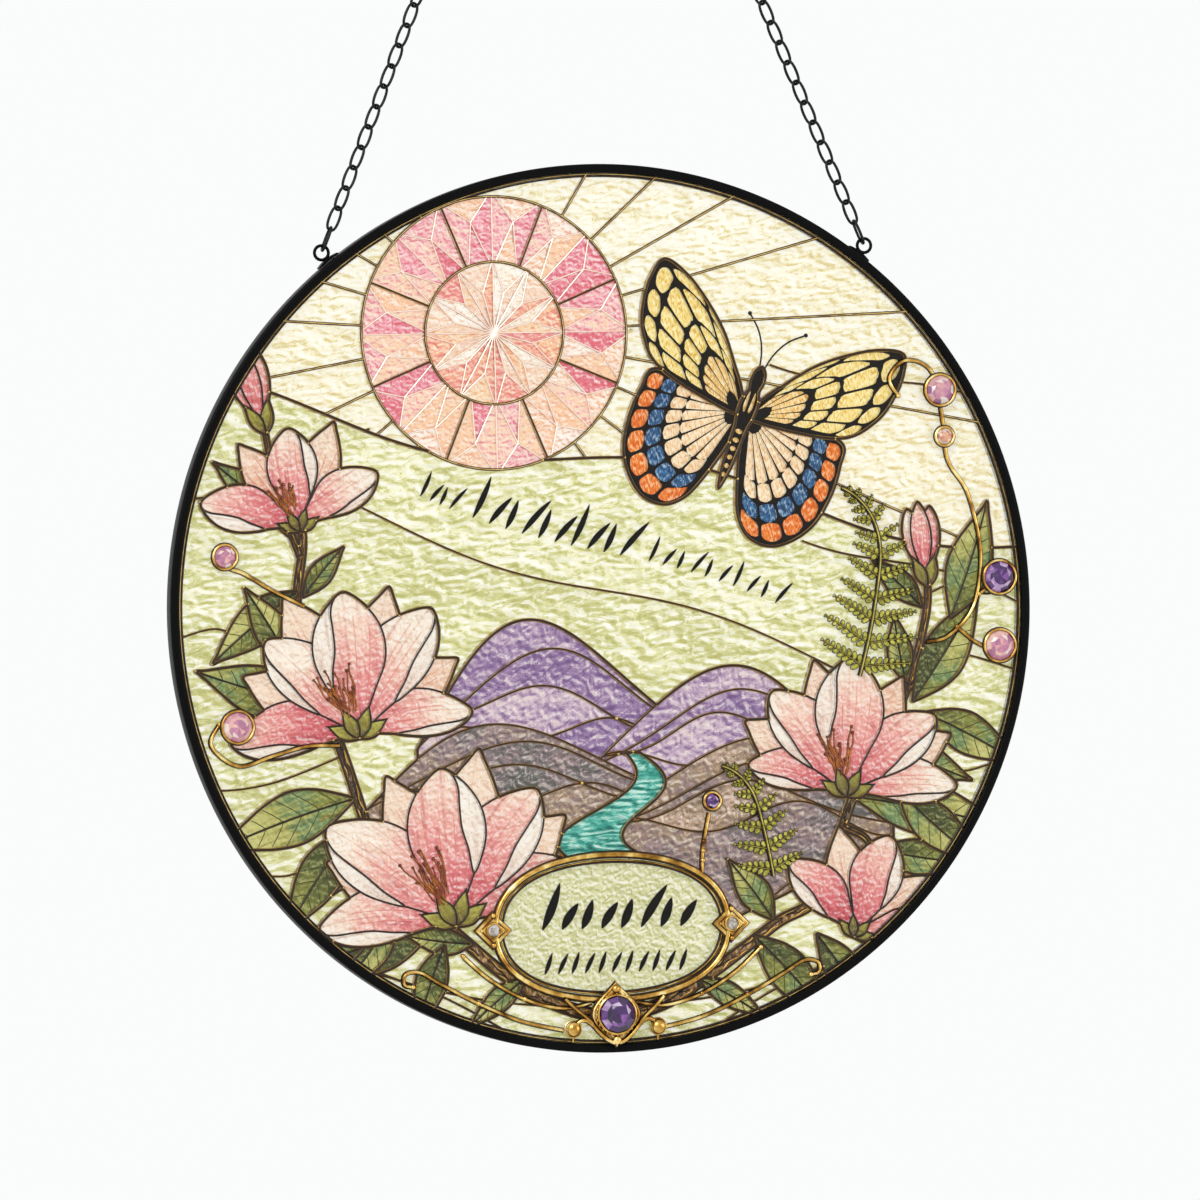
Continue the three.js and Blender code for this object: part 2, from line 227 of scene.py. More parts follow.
bpy.ops.object.modifier_apply(modifier="soft")
bpy.ops.object.shade_smooth_by_angle(angle=math.radians(40))
rim.data.materials.append(black_lacquer)
hang(rim, "black_metal", "rim")

# The cartoon: the full-size drawing that the glass is cut to. Each figure lies over those before
# it, so what shows of a figure is one or more panes, and leading follows every line between panes.
glass_radius = 148.1
lead_gap = 0.17
glass_half = 1.5
figures = []
cuts = []


def flowing(points, closed=False, step=1.2):
    """points along the smooth curve through the given ones"""
    known = [Vector(point) for point in points]
    count = len(known)
    found = []
    for i in range(count if closed else count - 1):
        ends = [known[(i + k) % count] if closed else known[min(max(i + k, 0), count - 1)] for k in (-1, 0, 1, 2)]
        a, b, c, d = ends
        steps = max(1, round((c - b).length / step))
        for k in range(steps):
            t = k / steps
            found.append(
                0.5 * (2 * b + (c - a) * t + (2 * a - 5 * b + 4 * c - d) * t**2 + (3 * b - a - 3 * c + d) * t**3)
            )
    if not closed:
        found.append(known[-1])
    return found


def turned(point, degrees):
    """point turned about the middle"""
    return Matrix.Rotation(math.radians(degrees), 2) @ Vector(point)


def around(x, y, across, up, step=1.2, start=0, end=360):
    """points round an oval, or along a part of it"""
    steps = max(6, round(math.radians(end - start) * max(across, up) / step))
    closed = end - start == 360
    angles = [math.radians(start + (end - start) * k / steps) for k in range(steps if closed else steps + 1)]
    return [Vector((x + across * math.cos(a), y + up * math.sin(a))) for a in angles]


def figure(name, glass, outline, axis=None, inlay=False):
    """one closed shape of the drawing, in the glass it is cut from; an inlay is painted on the figure under it"""
    figures.append({"name": name, "glass": glass, "outline": outline, "axis": axis, "inlay": inlay})


def cut(points, *owners, line="tile"):
    """a line that divides the panes of the owners it crosses, and the kind of leading on it"""
    cuts.append({"points": points, "owners": owners, "line": line})


def blade(x, y, direction, length, width, sides, bow=0.0):
    """a petal's or leaf's outline: sides are (how far along, share of the half width)"""
    left = [(along * length, share * width / 2) for along, share in sides]
    right = [(along, -half) for along, half in reversed(left[:-1])]
    bent = [(along, half + bow * length * (along / length) ** 2) for along, half in left + right]
    return [Vector((x, y)) + turned(point, direction) for point in flowing(bent, closed=True)]


# Sky, and the field under its skyline, crossed by slow waves
def skyline(x):
    """height of the line between sky and field"""
    return 48 - 0.2 * x + 6 * math.sin(x / 26 + 0.5)


def swell(foot, fall, rise, length, phase, left, right):
    """a wavy line across the panel"""
    return [
        Vector((x, foot - fall * x + rise * math.sin(x / length + phase)))
        for x in [left + (right - left) * k / 80 for k in range(81)]
    ]


figure("sky", "sky", around(0, 0, glass_radius + 2, glass_radius + 2))
far = glass_radius + 6
figure("field", "field", [Vector((x * 1.5, skyline(x * 1.5))) for x in range(-104, 105)] + [Vector((far, -far)), Vector((-far, -far))])
cut(swell(6, 0.34, 4, 24, 0, -100, 92), "field")
cut(swell(50, 0.36, 3.5, 17, 0.4, 70, 150), "field", "sky")
cut(swell(104, 0.30, 5, 19, 1.2, 60, 150), "sky")
cut(flowing([(-150, 66), (-128, 70), (-110, 60), (-92, 58), (-80, 62)]), "sky")
for arc in (
    [(-150, -8), (-134, -4), (-120, -10), (-104, -6)],
    [(-152, 34), (-138, 40), (-122, 36), (-106, 24)],
    [(-152, -54), (-136, -58), (-116, -56), (-93, -48)],
    [(-134, -98), (-122, -88), (-108, -86), (-90, -72)],
    [(-112, -112), (-100, -104), (-88, -104), (-74, -94)],
    [(104, -34), (112, -22), (124, -18), (150, -26)],
    [(150, -62), (138, -56), (124, -58), (108, -50)],
    [(132, -96), (120, -86), (108, -88), (92, -82)],
    [(110, 0), (124, 6), (136, 2), (152, 10)],
    [(20, -134), (44, -131), (72, -124), (100, -112)],
    [(-20, -134), (-44, -131), (-72, -124), (-100, -112)],
    [(26, -150), (40, -140), (62, -128), (84, -120)],
    [(-26, -150), (-40, -140), (-62, -128), (-84, -120)],
):
    cut(flowing(arc), "field")

# Sun: a roundel with a rosette in its middle and a ring of triangular tiles round it
sun_x, sun_y, sun_radius, sun_centre = -36, 93.5, 46, 24
sun_tiles = 16
for direction in (-70, -54, -38, -24, -11, 2, 15, 28, 42, 58, 122, 138, 150, 163, 176, 190, 204, 219, 234, 250):
    heading = turned((1, 0), direction)
    start = Vector((sun_x, sun_y)) + heading * (sun_radius - 4)
    cut([start, start + heading * 230], "sky", line="ray")
figure("sun_ring", "sun_ring", around(sun_x, sun_y, sun_radius, sun_radius))
for tile in range(sun_tiles):
    lean = 360 / sun_tiles
    inner, waist, outer = (
        [Vector((sun_x, sun_y)) + turned((away, 0), lean * (tile + k)) for k in (0, 0.5, 1)]
        for away in (sun_centre - 2, (sun_radius + sun_centre) / 2 + 3, sun_radius + 2)
    )
    cut([inner[0], outer[0]], "sun_ring", line="tile" if tile % 2 else "hair")
    cut([inner[0], waist[1], outer[0]], "sun_ring", line="hair")
    cut([inner[2], waist[1], outer[2]], "sun_ring", line="hair")
figure("sun_centre", "sun", around(sun_x, sun_y, sun_centre, sun_centre))
for ray in range(12):
    root = Vector((sun_x, sun_y))
    tip = root + turned((sun_centre + 1, 0), 30 * ray)
    waists = [root + turned((sun_centre * 0.58, 0), 30 * ray + side) for side in (-15, 15)]
    cut([root, tip], "sun", line="hair")
    cut([root, waists[1]], "sun", line="hair")
    cut([waists[0], tip, waists[1]], "sun", line="hair")

# Hills, rounded, each hiding the foot of the one behind, with contour lines, and the stream
def crest(left, right, foot, height, lean, share=1.0, sway=0.0):
    """a hill's top line, or a contour line below it at that share of its height"""
    found = []
    for k in range(61):
        t = k / 60
        rise = height * (math.sin(math.pi * t) + lean * math.sin(2 * math.pi * t))
        x = left + (right - left) * (t + sway * math.sin(math.pi * t))
        y = foot + share * rise + (1 - share) * 5 * math.sin(11 * t + 4 * share)
        found.append(Vector((x, y)))
    return found


hills = {
    "hill_far_left": (-66, 34, -46, 40, 0.2),
    "hill_far_right": (-6, 84, -54, 33, -0.1),
    "hill_near_left": (-84, 30, -66, 26, 0.2),
    "hill_near_right": (-8, 100, -76, 30, -0.15),
}
for name, sizes in hills.items():
    glass = "far_hills" if "far" in name else "near_hills"
    left, right = sizes[:2]
    foot_line = flowing([(right, -84), (68, -92), (50, -103), (20, -112), (-30, -106), (left, -90)], step=4)
    figure(name, glass, crest(*sizes) + foot_line)
    for share, sway in ((0.74, 0.07), (0.45, -0.05), (0.16, 0.04)):
        cut(crest(*sizes, share, sway), name)


def stream_side(hand, steps=30):
    """one bank of the stream, from the far end down"""
    found = []
    for k in range(steps + 1):
        t = k / steps
        middle = 6 + 15 * math.sin(6.4 * t + 0.4) * (0.5 + 0.5 * t)
        found.append(Vector((middle + hand * (2.4 + 13 * t), -49 - 42 * t)))
    return found


figure("stream", "stream", stream_side(-1) + stream_side(1)[::-1])

# Branches, tapering strips of brown glass, with the leaves and blossoms that grow from them
def strip(points, start, end):
    """a tapering band along a curve"""
    line = flowing(points)
    left, right = [], []
    for i, point in enumerate(line):
        along = line[min(i + 1, len(line) - 1)] - line[max(i - 1, 0)]
        half = (start + (end - start) * i / (len(line) - 1)) / 2
        side = Vector((-along.y, along.x)).normalized() * half
        left.append(point + side)
        right.append(point - side)
    return left + right[::-1]


branches = {
    "branch_left": ([(-4, -138), (-20, -133), (-37, -123), (-58, -105), (-76, -92), (-92, -46), (-106, -4), (-104, 28), (-112, 50)], 4, 2.2),
    "branch_right": ([(4, -138), (20, -133), (38, -122), (58, -108), (74, -98), (86, -66), (104, -34), (113, -6), (114, 8)], 4, 2),
    "twig_right": ([(82, -76), (92, -84), (88, -112)], 2.2, 1.4),
    "twig_right_high": ([(106, -30), (118, -20), (124, -4)], 1.8, 1),
    "twig_bud": ([(-105, 20), (-112, 40), (-116, 62)], 2, 1.6),
}
for name, (points, start, end) in branches.items():
    figure(name, "branch", strip(points, start, end))

leaf_sides = [(0, 0.03), (0.1, 0.36), (0.25, 0.78), (0.42, 1), (0.6, 0.86), (0.78, 0.5), (0.92, 0.17), (1, 0)]
leaves = [
    (-101, -30, 168, 42, 17),
    (-88, -62, 194, 50, 18),
    (-60, -104, 204, 52, 16),
    (-106, 8, 214, 38, 14),
    (86, -66, -8, 56, 18),
    (108, -34, 52, 44, 16),
    (50, -112, -44, 40, 14),
    (57, -107, 122, 26, 11),
    (-97, -28, 118, 20, 8),
    (-84, -74, 228, 30, 11),
    (-48, -112, 176, 24, 9),
    (-30, -124, 214, 26, 8),
    (30, -126, -26, 27, 8),
    (96, -46, -30, 36, 12),
    (106, -28, 104, 24, 9),
    (94, -84, -14, 34, 12),
    (-104, 6, 54, 22, 8),
    (122, -6, 66, 42, 16),
    (112, -38, -24, 38, 14),
    (102, -64, -46, 40, 14),
    (72, -112, -52, 34, 12),
    (-89, -72, 231, 42, 15),
    (-74, -100, 236, 36, 12),
    (-108, -18, 116, 32, 12),
    (-110, 34, 148, 30, 11),
    (-58, -112, 246, 30, 11),
    (-86, -112, 196, 30, 11),
    (112, -2, 132, 24, 9),
]
for number, (x, y, direction, length, width) in enumerate(leaves, 1):
    name = "leaf_%d" % number
    bow = 0.08 * (-1) ** number
    outline = blade(x, y, direction, length, width, leaf_sides, bow)
    figure(name, "leaf", outline, (x, y, direction, length, width, bow))
    midrib = [(along, bow * length * (along / length) ** 2) for along in [length * k / 20 for k in range(21)]]
    cut([Vector((x, y)) + turned(point, direction) for point in midrib], name)

# Blossoms: petals in a fan, the outer ones first and the middle one over them all, each petal with
# a pale edge that is turned over on one side, in a cup of small green sepals
petal_sides = [
    (0, 0.09), (0.12, 0.27), (0.3, 0.6), (0.46, 0.91), (0.6, 1), (0.74, 0.91), (0.86, 0.66), (0.94, 0.38), (0.985, 0.16), (1, 0),
]
back_sides = [(0, 0.09), (0.12, 0.3), (0.3, 0.68), (0.45, 0.96), (0.56, 1), (0.7, 0.84), (0.83, 0.54), (0.93, 0.24), (1, 0)]
blossoms = [
    (-105, 30, 98, 34, 3),
    (-86, -40, 96, 48, 5),
    (-54, -104, 98, 54, 5),
    (84, -64, 84, 44, 5),
    (86, -112, 66, 34, 3),
]


def petal(name, glass, x, y, direction, length, width, bow, fold, sides=petal_sides):
    """a petal, and its edge turned over on the fold's side, widest two thirds of the way up"""
    axis = (x, y, direction, length, width, bow)
    figure(name, glass, blade(x, y, direction, length, width, sides, bow), axis)
    if fold:
        shares = petal_sides[2:]
        outer = [(along, share) for along, share in shares]
        inner = [(along, share * (1 - abs(fold) * math.sin(math.pi * (along - 0.3) / 0.7) ** 0.8)) for along, share in shares[1:-1]]
        hand = math.copysign(1, fold)
        lip = [(along * length, hand * share * width / 2 + bow * length * along**2) for along, share in outer + inner[::-1]]
        figure(name + "_fold", "petal_fold", [Vector((x, y)) + turned(p, direction) for p in flowing(lip, True)], axis)


for number, (x, y, direction, size, count) in enumerate(blossoms, 1):
    fan = 168 / count
    middle = (count - 1) / 2
    for k in range(count - 1):
        offset = k - middle + 0.5
        wobble = math.sin(2.3 * number + 1.7 * k)
        petal("blossom_%d_back_%d" % (number, k), "petal_pale", x, y, direction + offset * fan + 3 * wobble,
              size * (1.06 + 0.05 * wobble - 0.06 * offset**2), (0.44 + 0.03 * wobble) * size, 0.09 * offset, 0, back_sides)
    for k in sorted(range(count), key=lambda k: -abs(k - middle)):
        offset = k - middle
        side = (offset > 0) - (offset < 0) or (-1) ** number
        wobble = math.cos(1.9 * number + 2.1 * k)
        petal("blossom_%d_petal_%d" % (number, k), "petal", x, y, direction + offset * fan + 4 * wobble,
              size * (1 + 0.05 * wobble - 0.04 * offset**2), (0.53 + 0.03 * wobble - 0.07 * abs(offset)) * size,
              0.14 * offset, side * (0.42 + 0.1 * (k % 3)))
    for turn in (-62, 62, -24, 24):
        axis = (x, y, direction + turn, 0.24 * size, 0.1 * size, 0)
        root = Vector((x, y)) - turned((2, 0), direction)
        figure("sepal_%d_%d" % (number, turn), "sepal", blade(*root, direction + turn, 0.24 * size, 0.1 * size, leaf_sides), axis)

for number, (x, y, direction, length, width) in enumerate([(-116, 62, 106, 30, 13), (114, 6, 96, 28, 13)], 1):
    for turn in (-9, 9, 0):
        name = "bud_%d_%d" % (number, turn)
        petal(name, "petal", x, y, direction + turn, length * (0.94 if turn else 1), width * (0.62 if turn else 0.55), 0, 0)
    for turn in (-20, 20):
        axis = (x, y, direction + turn, 0.42 * length, 0.34 * width, 0)
        root = Vector((x, y)) - turned((1.5, 0), direction)
        figure("bud_cup_%d_%d" % (number, turn), "sepal", blade(*root, direction + turn, 0.42 * length, 0.34 * width, leaf_sides), axis)

# Butterfly, seen from above with open wings: black enamelled glass with pale cells fired into it
butterfly_x, butterfly_y, butterfly_turn = 50, 62, -22
upper_wing = [(1, 2), (20, 3.5), (36, 8), (44, 17), (47, 26), (47.5, 35), (45, 42), (36, 40), (26, 34), (17, 26.5), (10, 18), (4, 10)]
lower_wing = [(1, 4), (2, -8), (6, -22), (10, -31), (16, -36), (24, -36), (31, -31), (36, -23), (38, -12), (37.5, -2), (35, 6), (18, 5.6)]


def on_wing(points, hand):
    """points of the right wing, placed on the panel; the left wing is its mirror image"""
    placed = [Vector((butterfly_x, butterfly_y)) + turned((hand * x, y), butterfly_turn) for x, y in points]
    return placed if hand > 0 else placed[::-1]


def reach(outline, root, heading):
    """how far the outline lies from the root in that direction"""
    best = 0
    for a, b in zip(outline, outline[1:] + outline[:1]):
        hit = geometry.intersect_line_line_2d(root + heading * 0.5, root + heading * 99, a, b)
        if hit:
            best = max(best, (hit - root).length)
    return best


def cells(name, outline, root, first, last, count, bands, hand):
    """pale cells between the black veins that run out from the wing's root"""
    for k in range(count):
        low = first + (last - first) * (k + 0.09) / count
        high = first + (last - first) * (k + 0.91) / count
        for band, (near, far_end, glass) in enumerate(bands):
            corners = []
            for share, sweep in ((near, 1), (far_end, -1)):
                edge = []
                for step in range(5):
                    angle = low + (high - low) * step / 4
                    heading = turned((1, 0), angle)
                    bulge = 1 + 0.035 * math.sin(math.pi * step / 4) * (1 if share == far_end else -1)
                    edge.append(root + heading * reach(outline, root, heading) * min(share * bulge, 0.965))
                corners += edge[::sweep]
            figure("%s_cell_%d_%d" % (name, k, band), glass, on_wing(flowing(corners, True, 0.8), hand), None, True)


for hand, side in ((-1, "left"), (1, "right")):
    for part, shape, root, first, last, count, bands in (
        ("lower", lower_wing, Vector((2, 3)), -76, 4, 7,
         [(0.14, 0.50, "wing_cream"), (0.535, 0.64, "wing_cream"), (0.70, 0.79, "wing_blue"), (0.85, 0.935, "wing_orange")]),
        ("upper", upper_wing, Vector((2, 3)), 8, 60, 6,
         [(0.14, 0.36, "wing_amber"), (0.43, 0.56, "wing_yellow"), (0.62, 0.80, "wing_yellow"), (0.875, 0.935, "wing_yellow")]),
    ):
        name = "wing_%s_%s" % (part, side)
        outline = flowing(shape, True)
        figure(name, "wing_black", on_wing(outline, hand))
        cells(name, outline, root, first, last, count, bands, hand)
body = [(0, 20), (-1.9, 18), (-2.4, 14.5), (-1.9, 11.5), (-3, 8), (-3.1, 3), (-2.2, -2), (-2, -9), (-1.5, -17), (0, -24)]
figure("butterfly_body", "wing_black", on_wing(flowing(body + [(-x, y) for x, y in body[-2:0:-1]], True), 1))

for k in range(6):
    figure("body_band_%d" % k, "wing_amber", on_wing(around(0, -3.4 - 3.1 * k, 1.25 - 0.12 * k, 0.85, 0.5), 1), None, True)
for hand in (-1, 1):
    streak_shape = [(0.5, 4), (0.9, 3.4), (1.7, 5.5), (1.5, 9), (0.9, 11), (0.6, 8)]
    figure("body_streak_%d" % hand, "wing_amber", on_wing(flowing(streak_shape, True, 0.6), hand), None, True)

# Plaque: an oval of clear pale glass that the brass frame will stand on
plaque_y, plaque_across, plaque_up, plaque_tube = -107.6, 41.6, 25.4, 1.8
figure("plaque", "plaque", around(0, plaque_y, plaque_across - plaque_tube / 2, plaque_up - plaque_tube / 2))


def inside(outline, point):
    """True if the outline goes round the point"""
    hit = False
    x, y = point
    for a, b in zip(outline, outline[-1:] + outline[:-1]):
        if (a.y > y) != (b.y > y) and x < (b.x - a.x) * (y - a.y) / (b.y - a.y) + a.x:
            hit = not hit
    return hit


for shape in figures:
    xs, ys = [p.x for p in shape["outline"]], [p.y for p in shape["outline"]]
    shape["reach"] = (min(xs), max(xs), min(ys), max(ys))


def holds(shape, point):
    """True if the point lies in the figure"""
    low_x, high_x, low_y, high_y = shape["reach"]
    return low_x <= point[0] <= high_x and low_y <= point[1] <= high_y and inside(shape["outline"], point)


def top_figure(point):
    """number of the figure that shows at the point, and of the inlay painted on it"""
    inlay = None
    for number in range(len(figures) - 1, -1, -1):
        shape = figures[number]
        if shape["inlay"]:
            if inlay is None and holds(shape, point):
                inlay = number
        elif holds(shape, point):
            return number, inlay if inlay is not None and inlay > number else number
    return None, None


# Cutting: the drawing is divided into a fine mesh whose edges follow every line, and the mesh falls
# apart into panes along the lines that show
random.seed(7)
pitch = 1.35
knots, joins, drawn = [], [], []


def score(points, mark, closed):
    """a line of the drawing that the mesh must follow"""
    first = len(knots)
    knots.extend(Vector(point[:2]) for point in points)
    for i in range(first, len(knots) - (0 if closed else 1)):
        joins.append((i, i + 1 if i + 1 < len(knots) else first))
        drawn.append(mark)


score(around(0, 0, glass_radius, glass_radius), ("edge", 0), True)
for number, shape in enumerate(figures):
    score(shape["outline"], ("figure", number), True)
for number, line in enumerate(cuts):
    score(line["points"], ("cut", number), False)
lines = kdtree.KDTree(len(knots))
for i, point in enumerate(knots):
    lines.insert((*point, 0), i)
lines.balance()
row = 0
y = -glass_radius
while y < glass_radius:
    x = -glass_radius + (row % 2) * pitch / 2
    while x < glass_radius:
        spot = Vector((x + random.uniform(-0.25, 0.25), y + random.uniform(-0.25, 0.25)))
        if spot.length < glass_radius - 0.7 and lines.find((*spot, 0))[2] > 0.62 * pitch:
            knots.append(spot)
        x += pitch
    y += pitch * 0.87
    row += 1
mesh_points, mesh_edges, mesh_faces, _, edge_marks, _ = geometry.delaunay_2d_cdt(knots, joins, [], 0, 1e-4)
mesh_faces = [
    face for face in mesh_faces
    if sum((mesh_points[i] for i in face), Vector((0, 0))).length / 3 < glass_radius - 0.001
]
marks_of = {}
for ends, marks in zip(mesh_edges, edge_marks):
    if marks:
        marks_of[tuple(sorted(ends))] = {drawn[mark] for mark in marks}
faces_at = {}
for number, face in enumerate(mesh_faces):
    for a, b in zip(face, face[1:] + face[:1]):
        faces_at.setdefault((min(a, b), max(a, b)), []).append(number)


def spread(first, crosses, reached):
    """faces reached from the first one over edges that crosses allows"""
    found, waiting = [], [first]
    reached[first] = True
    while waiting:
        number = waiting.pop()
        found.append(number)
        face = mesh_faces[number]
        for a, b in zip(face, face[1:] + face[:1]):
            edge = (min(a, b), max(a, b))
            for other in faces_at[edge]:
                if not reached[other] and crosses(edge, number, other):
                    reached[other] = True
                    waiting.append(other)
    return found


def middle_of(number):
    """centre of a face of the mesh"""
    return sum((mesh_points[i] for i in mesh_faces[number]), Vector((0, 0))) / 3


def size_of(number):
    """area of a face of the mesh"""
    a, b, c = (mesh_points[i] for i in mesh_faces[number])
    return abs((b - a).cross(c - a)) / 2


shows, paints = [None] * len(mesh_faces), [None] * len(mesh_faces)
reached = [False] * len(mesh_faces)
for first in range(len(mesh_faces)):
    if not reached[first]:
        patch = spread(first, lambda edge, here, there: edge not in marks_of, reached)
        widest = max(patch, key=size_of)
        label = top_figure(middle_of(widest))
        for number in patch:
            shows[number], paints[number] = label


def parts(edge, here, there):
    """True if a line that shows runs along the edge between two faces"""
    if shows[here] != shows[there]:
        return True
    shape = figures[shows[here]]
    return any(
        kind == "cut" and (shape["name"] in cuts[number]["owners"] or shape["glass"] in cuts[number]["owners"])
        for kind, number in marks_of.get(edge, ())
    )


panes = []
reached = [False] * len(mesh_faces)
for first in range(len(mesh_faces)):
    if not reached[first]:
        members = spread(first, lambda edge, here, there: not parts(edge, here, there), reached)
        panes.append((shows[first], members))
for shape, members in panes:
    if sum(size_of(number) for number in members) < 1.5:
        beside = [
            other
            for number in members
            for a, b in zip(mesh_faces[number], mesh_faces[number][1:] + mesh_faces[number][:1])
            for other in faces_at[(min(a, b), max(a, b))]
            if shows[other] != shape
        ]
        if beside:
            for number in members:
                shows[number], paints[number] = shows[beside[0]], paints[beside[0]]
panes = []
reached = [False] * len(mesh_faces)
for first in range(len(mesh_faces)):
    if not reached[first]:
        members = spread(first, lambda edge, here, there: not parts(edge, here, there), reached)
        panes.append((shows[first], members))


def relief(point):
    """height of the pattern rolled into the front of the glass, in millimetres"""
    x, y = point
    return 0.10 * noise.noise((x / 3.6, y / 2.4, 0.7)) + 0.05 * noise.noise((x / 1.7, y / 1.3, 4.1))


def along_figure(shape, point):
    """place across and along a petal or leaf, or plain millimetres where a figure has no axis"""
    if shape["axis"] is None:
        return point.x / 40, point.y / 40
    x, y, direction, length, width, bow = shape["axis"]
    local = turned((point.x - x, point.y - y), -direction)
    along = local.x / length
    return (local.y - bow * length * along**2) / width + 0.5, along


def cut_panes(name, finishes, slot, *nodes):
    """every pane cut from these glasses, each a closed slab with a rolled front and its own tone"""
    kinds = list(finishes)
    points, faces, places, tones, paint = [], [], [], [], []
    for show, members in panes:
        shape = figures[show]
        if shape["glass"] not in kinds:
            continue
        tone = random.random()
        own = set(members)
        walls = []
        inward = {}
        for number in members:
            face = mesh_faces[number]
            for a, b in zip(face, face[1:] + face[:1]):
                if not any(other != number and other in own for other in faces_at[(min(a, b), max(a, b))]):
                    walls.append((a, b, number))
                    side = (mesh_points[b] - mesh_points[a]).normalized()
                    for i in (a, b):
                        inward[i] = inward.get(i, Vector((0, 0))) + Vector((-side.y, side.x))
        front = {}
        for number in members:
            for i in mesh_faces[number]:
                if i not in front:
                    point = mesh_points[i].copy()
                    if i in inward:
                        pull = inward[i].length
                        point += inward[i] * (lead_gap / max(pull, 0.8) ** 2 * (2 if pull > 0.8 else 1))
                    front[i] = len(points)
                    points.append((point.x, point.y, glass_half + relief(point)))
                    points.append((point.x, point.y, -glass_half - 0.3 * relief(point)))
                    places.extend([along_figure(shape, point)] * 2)
        for number in members:
            a, b, c = (front[i] for i in mesh_faces[number])
            faces += [(a, b, c), (c + 1, b + 1, a + 1)]
            paint += [kinds.index(figures[paints[number]]["glass"])] * 2
            tones += [tone] * 2
        for a, b, number in walls:
            a, b = front[a], front[b]
            faces.append((a + 1, b + 1, b, a))
            paint.append(kinds.index(figures[paints[number]]["glass"]))
            tones.append(tone)
    mesh = bpy.data.meshes.new(name)
    mesh.from_pydata(points, [], faces)
    mesh.attributes.new("tone", "FLOAT", "FACE").data.foreach_set("value", tones)
    layer = mesh.uv_layers.new(name="grain")
    for loop in mesh.loops:
        layer.data[loop.index].uv = places[loop.vertex_index]
    for glass in kinds:
        mesh.materials.append(finishes[glass])
    mesh.polygons.foreach_set("material_index", paint)
    piece = bpy.data.objects.new(name, mesh)
    bpy.context.collection.objects.link(piece)
    only(piece)
    bpy.ops.object.shade_smooth_by_angle(angle=math.radians(45))
    hang(piece, slot, *nodes)
    return piece


def flakes(nodes, links, size, stretch=(1, 1, 1), ragged=0.8):
    """a value that jumps from flake to flake, as light does in hammered glass, and the distance from each flake's middle"""
    place = nodes.new("ShaderNodeTexCoord")
    turn = nodes.new("ShaderNodeMapping")
    turn.inputs["Scale"].default_value = [1000 * value / size for value in stretch]
    links.new(place.outputs["Object"], turn.inputs["Vector"])
    warp = nodes.new("ShaderNodeTexNoise")
    warp.inputs["Scale"].default_value = 2.2
    warp.inputs["Detail"].default_value = 5
    links.new(turn.outputs["Vector"], warp.inputs["Vector"])
    push = nodes.new("ShaderNodeVectorMath")
    push.operation = "MULTIPLY_ADD"
    push.inputs[1].default_value = (ragged, ragged, ragged)
    links.new(warp.outputs["Color"], push.inputs[0])
    links.new(turn.outputs["Vector"], push.inputs[2])
    cell = nodes.new("ShaderNodeTexVoronoi")
    cell.inputs["Scale"].default_value = 1
    links.new(push.outputs["Vector"], cell.inputs["Vector"])
    channel = nodes.new("ShaderNodeSeparateColor")
    links.new(cell.outputs["Color"], channel.inputs["Color"])
    return channel.outputs["Red"], cell.outputs["Distance"]


def blend(nodes, links, share, first, second, mode="MIX"):
    """two colours mixed by a share, plain or linked"""
    node = nodes.new("ShaderNodeMix")
    node.data_type = "RGBA"
    node.blend_type = mode
    for socket, value in ((node.inputs[0], share), (node.inputs[6], first), (node.inputs[7], second)):
        if isinstance(value, bpy.types.NodeSocket):
            links.new(value, socket)
        elif isinstance(value, tuple):
            socket.default_value = (*value, 1)
        else:
            socket.default_value = value
    return node.outputs[2]


def reckon(nodes, links, kind, first, second, third=None):
    """a sum on values, plain or linked"""
    node = nodes.new("ShaderNodeMath")
    node.operation = kind
    for socket, value in zip(node.inputs, (first, second, third)):
        if isinstance(value, bpy.types.NodeSocket):
            links.new(value, socket)
        elif value is not None:
            socket.default_value = value
    return node.outputs[0]


def pane_tone(nodes):
    """each pane's own tone, 0 to 1"""
    node = nodes.new("ShaderNodeAttribute")
    node.attribute_name = "tone"
    return node.outputs["Fac"]


def hammered(nodes, links, size, stretch=(0.42, 1, 1)):
    """light on hammered glass, bright on the upper side of each dent and dark on the lower, and the dents' height"""
    place = nodes.new("ShaderNodeTexCoord")
    heights = []
    for drop in (0, 0.34):
        turn = nodes.new("ShaderNodeMapping")
        turn.inputs["Scale"].default_value = [1000 * value / size for value in stretch]
        turn.inputs["Location"].default_value = (0.4 * drop, 0, drop)
        links.new(place.outputs["Object"], turn.inputs["Vector"])
        dents = nodes.new("ShaderNodeTexNoise")
        dents.inputs["Scale"].default_value = 1
        dents.inputs["Detail"].default_value = 4
        dents.inputs["Roughness"].default_value = 0.6
        dents.inputs["Distortion"].default_value = 1.2
        links.new(turn.outputs["Vector"], dents.inputs["Vector"])
        heights.append(dents.outputs["Fac"])
    slope = reckon(nodes, links, "SUBTRACT", *heights)
    return reckon(nodes, links, "MULTIPLY_ADD", slope, 2.0, 0.5), heights[0]


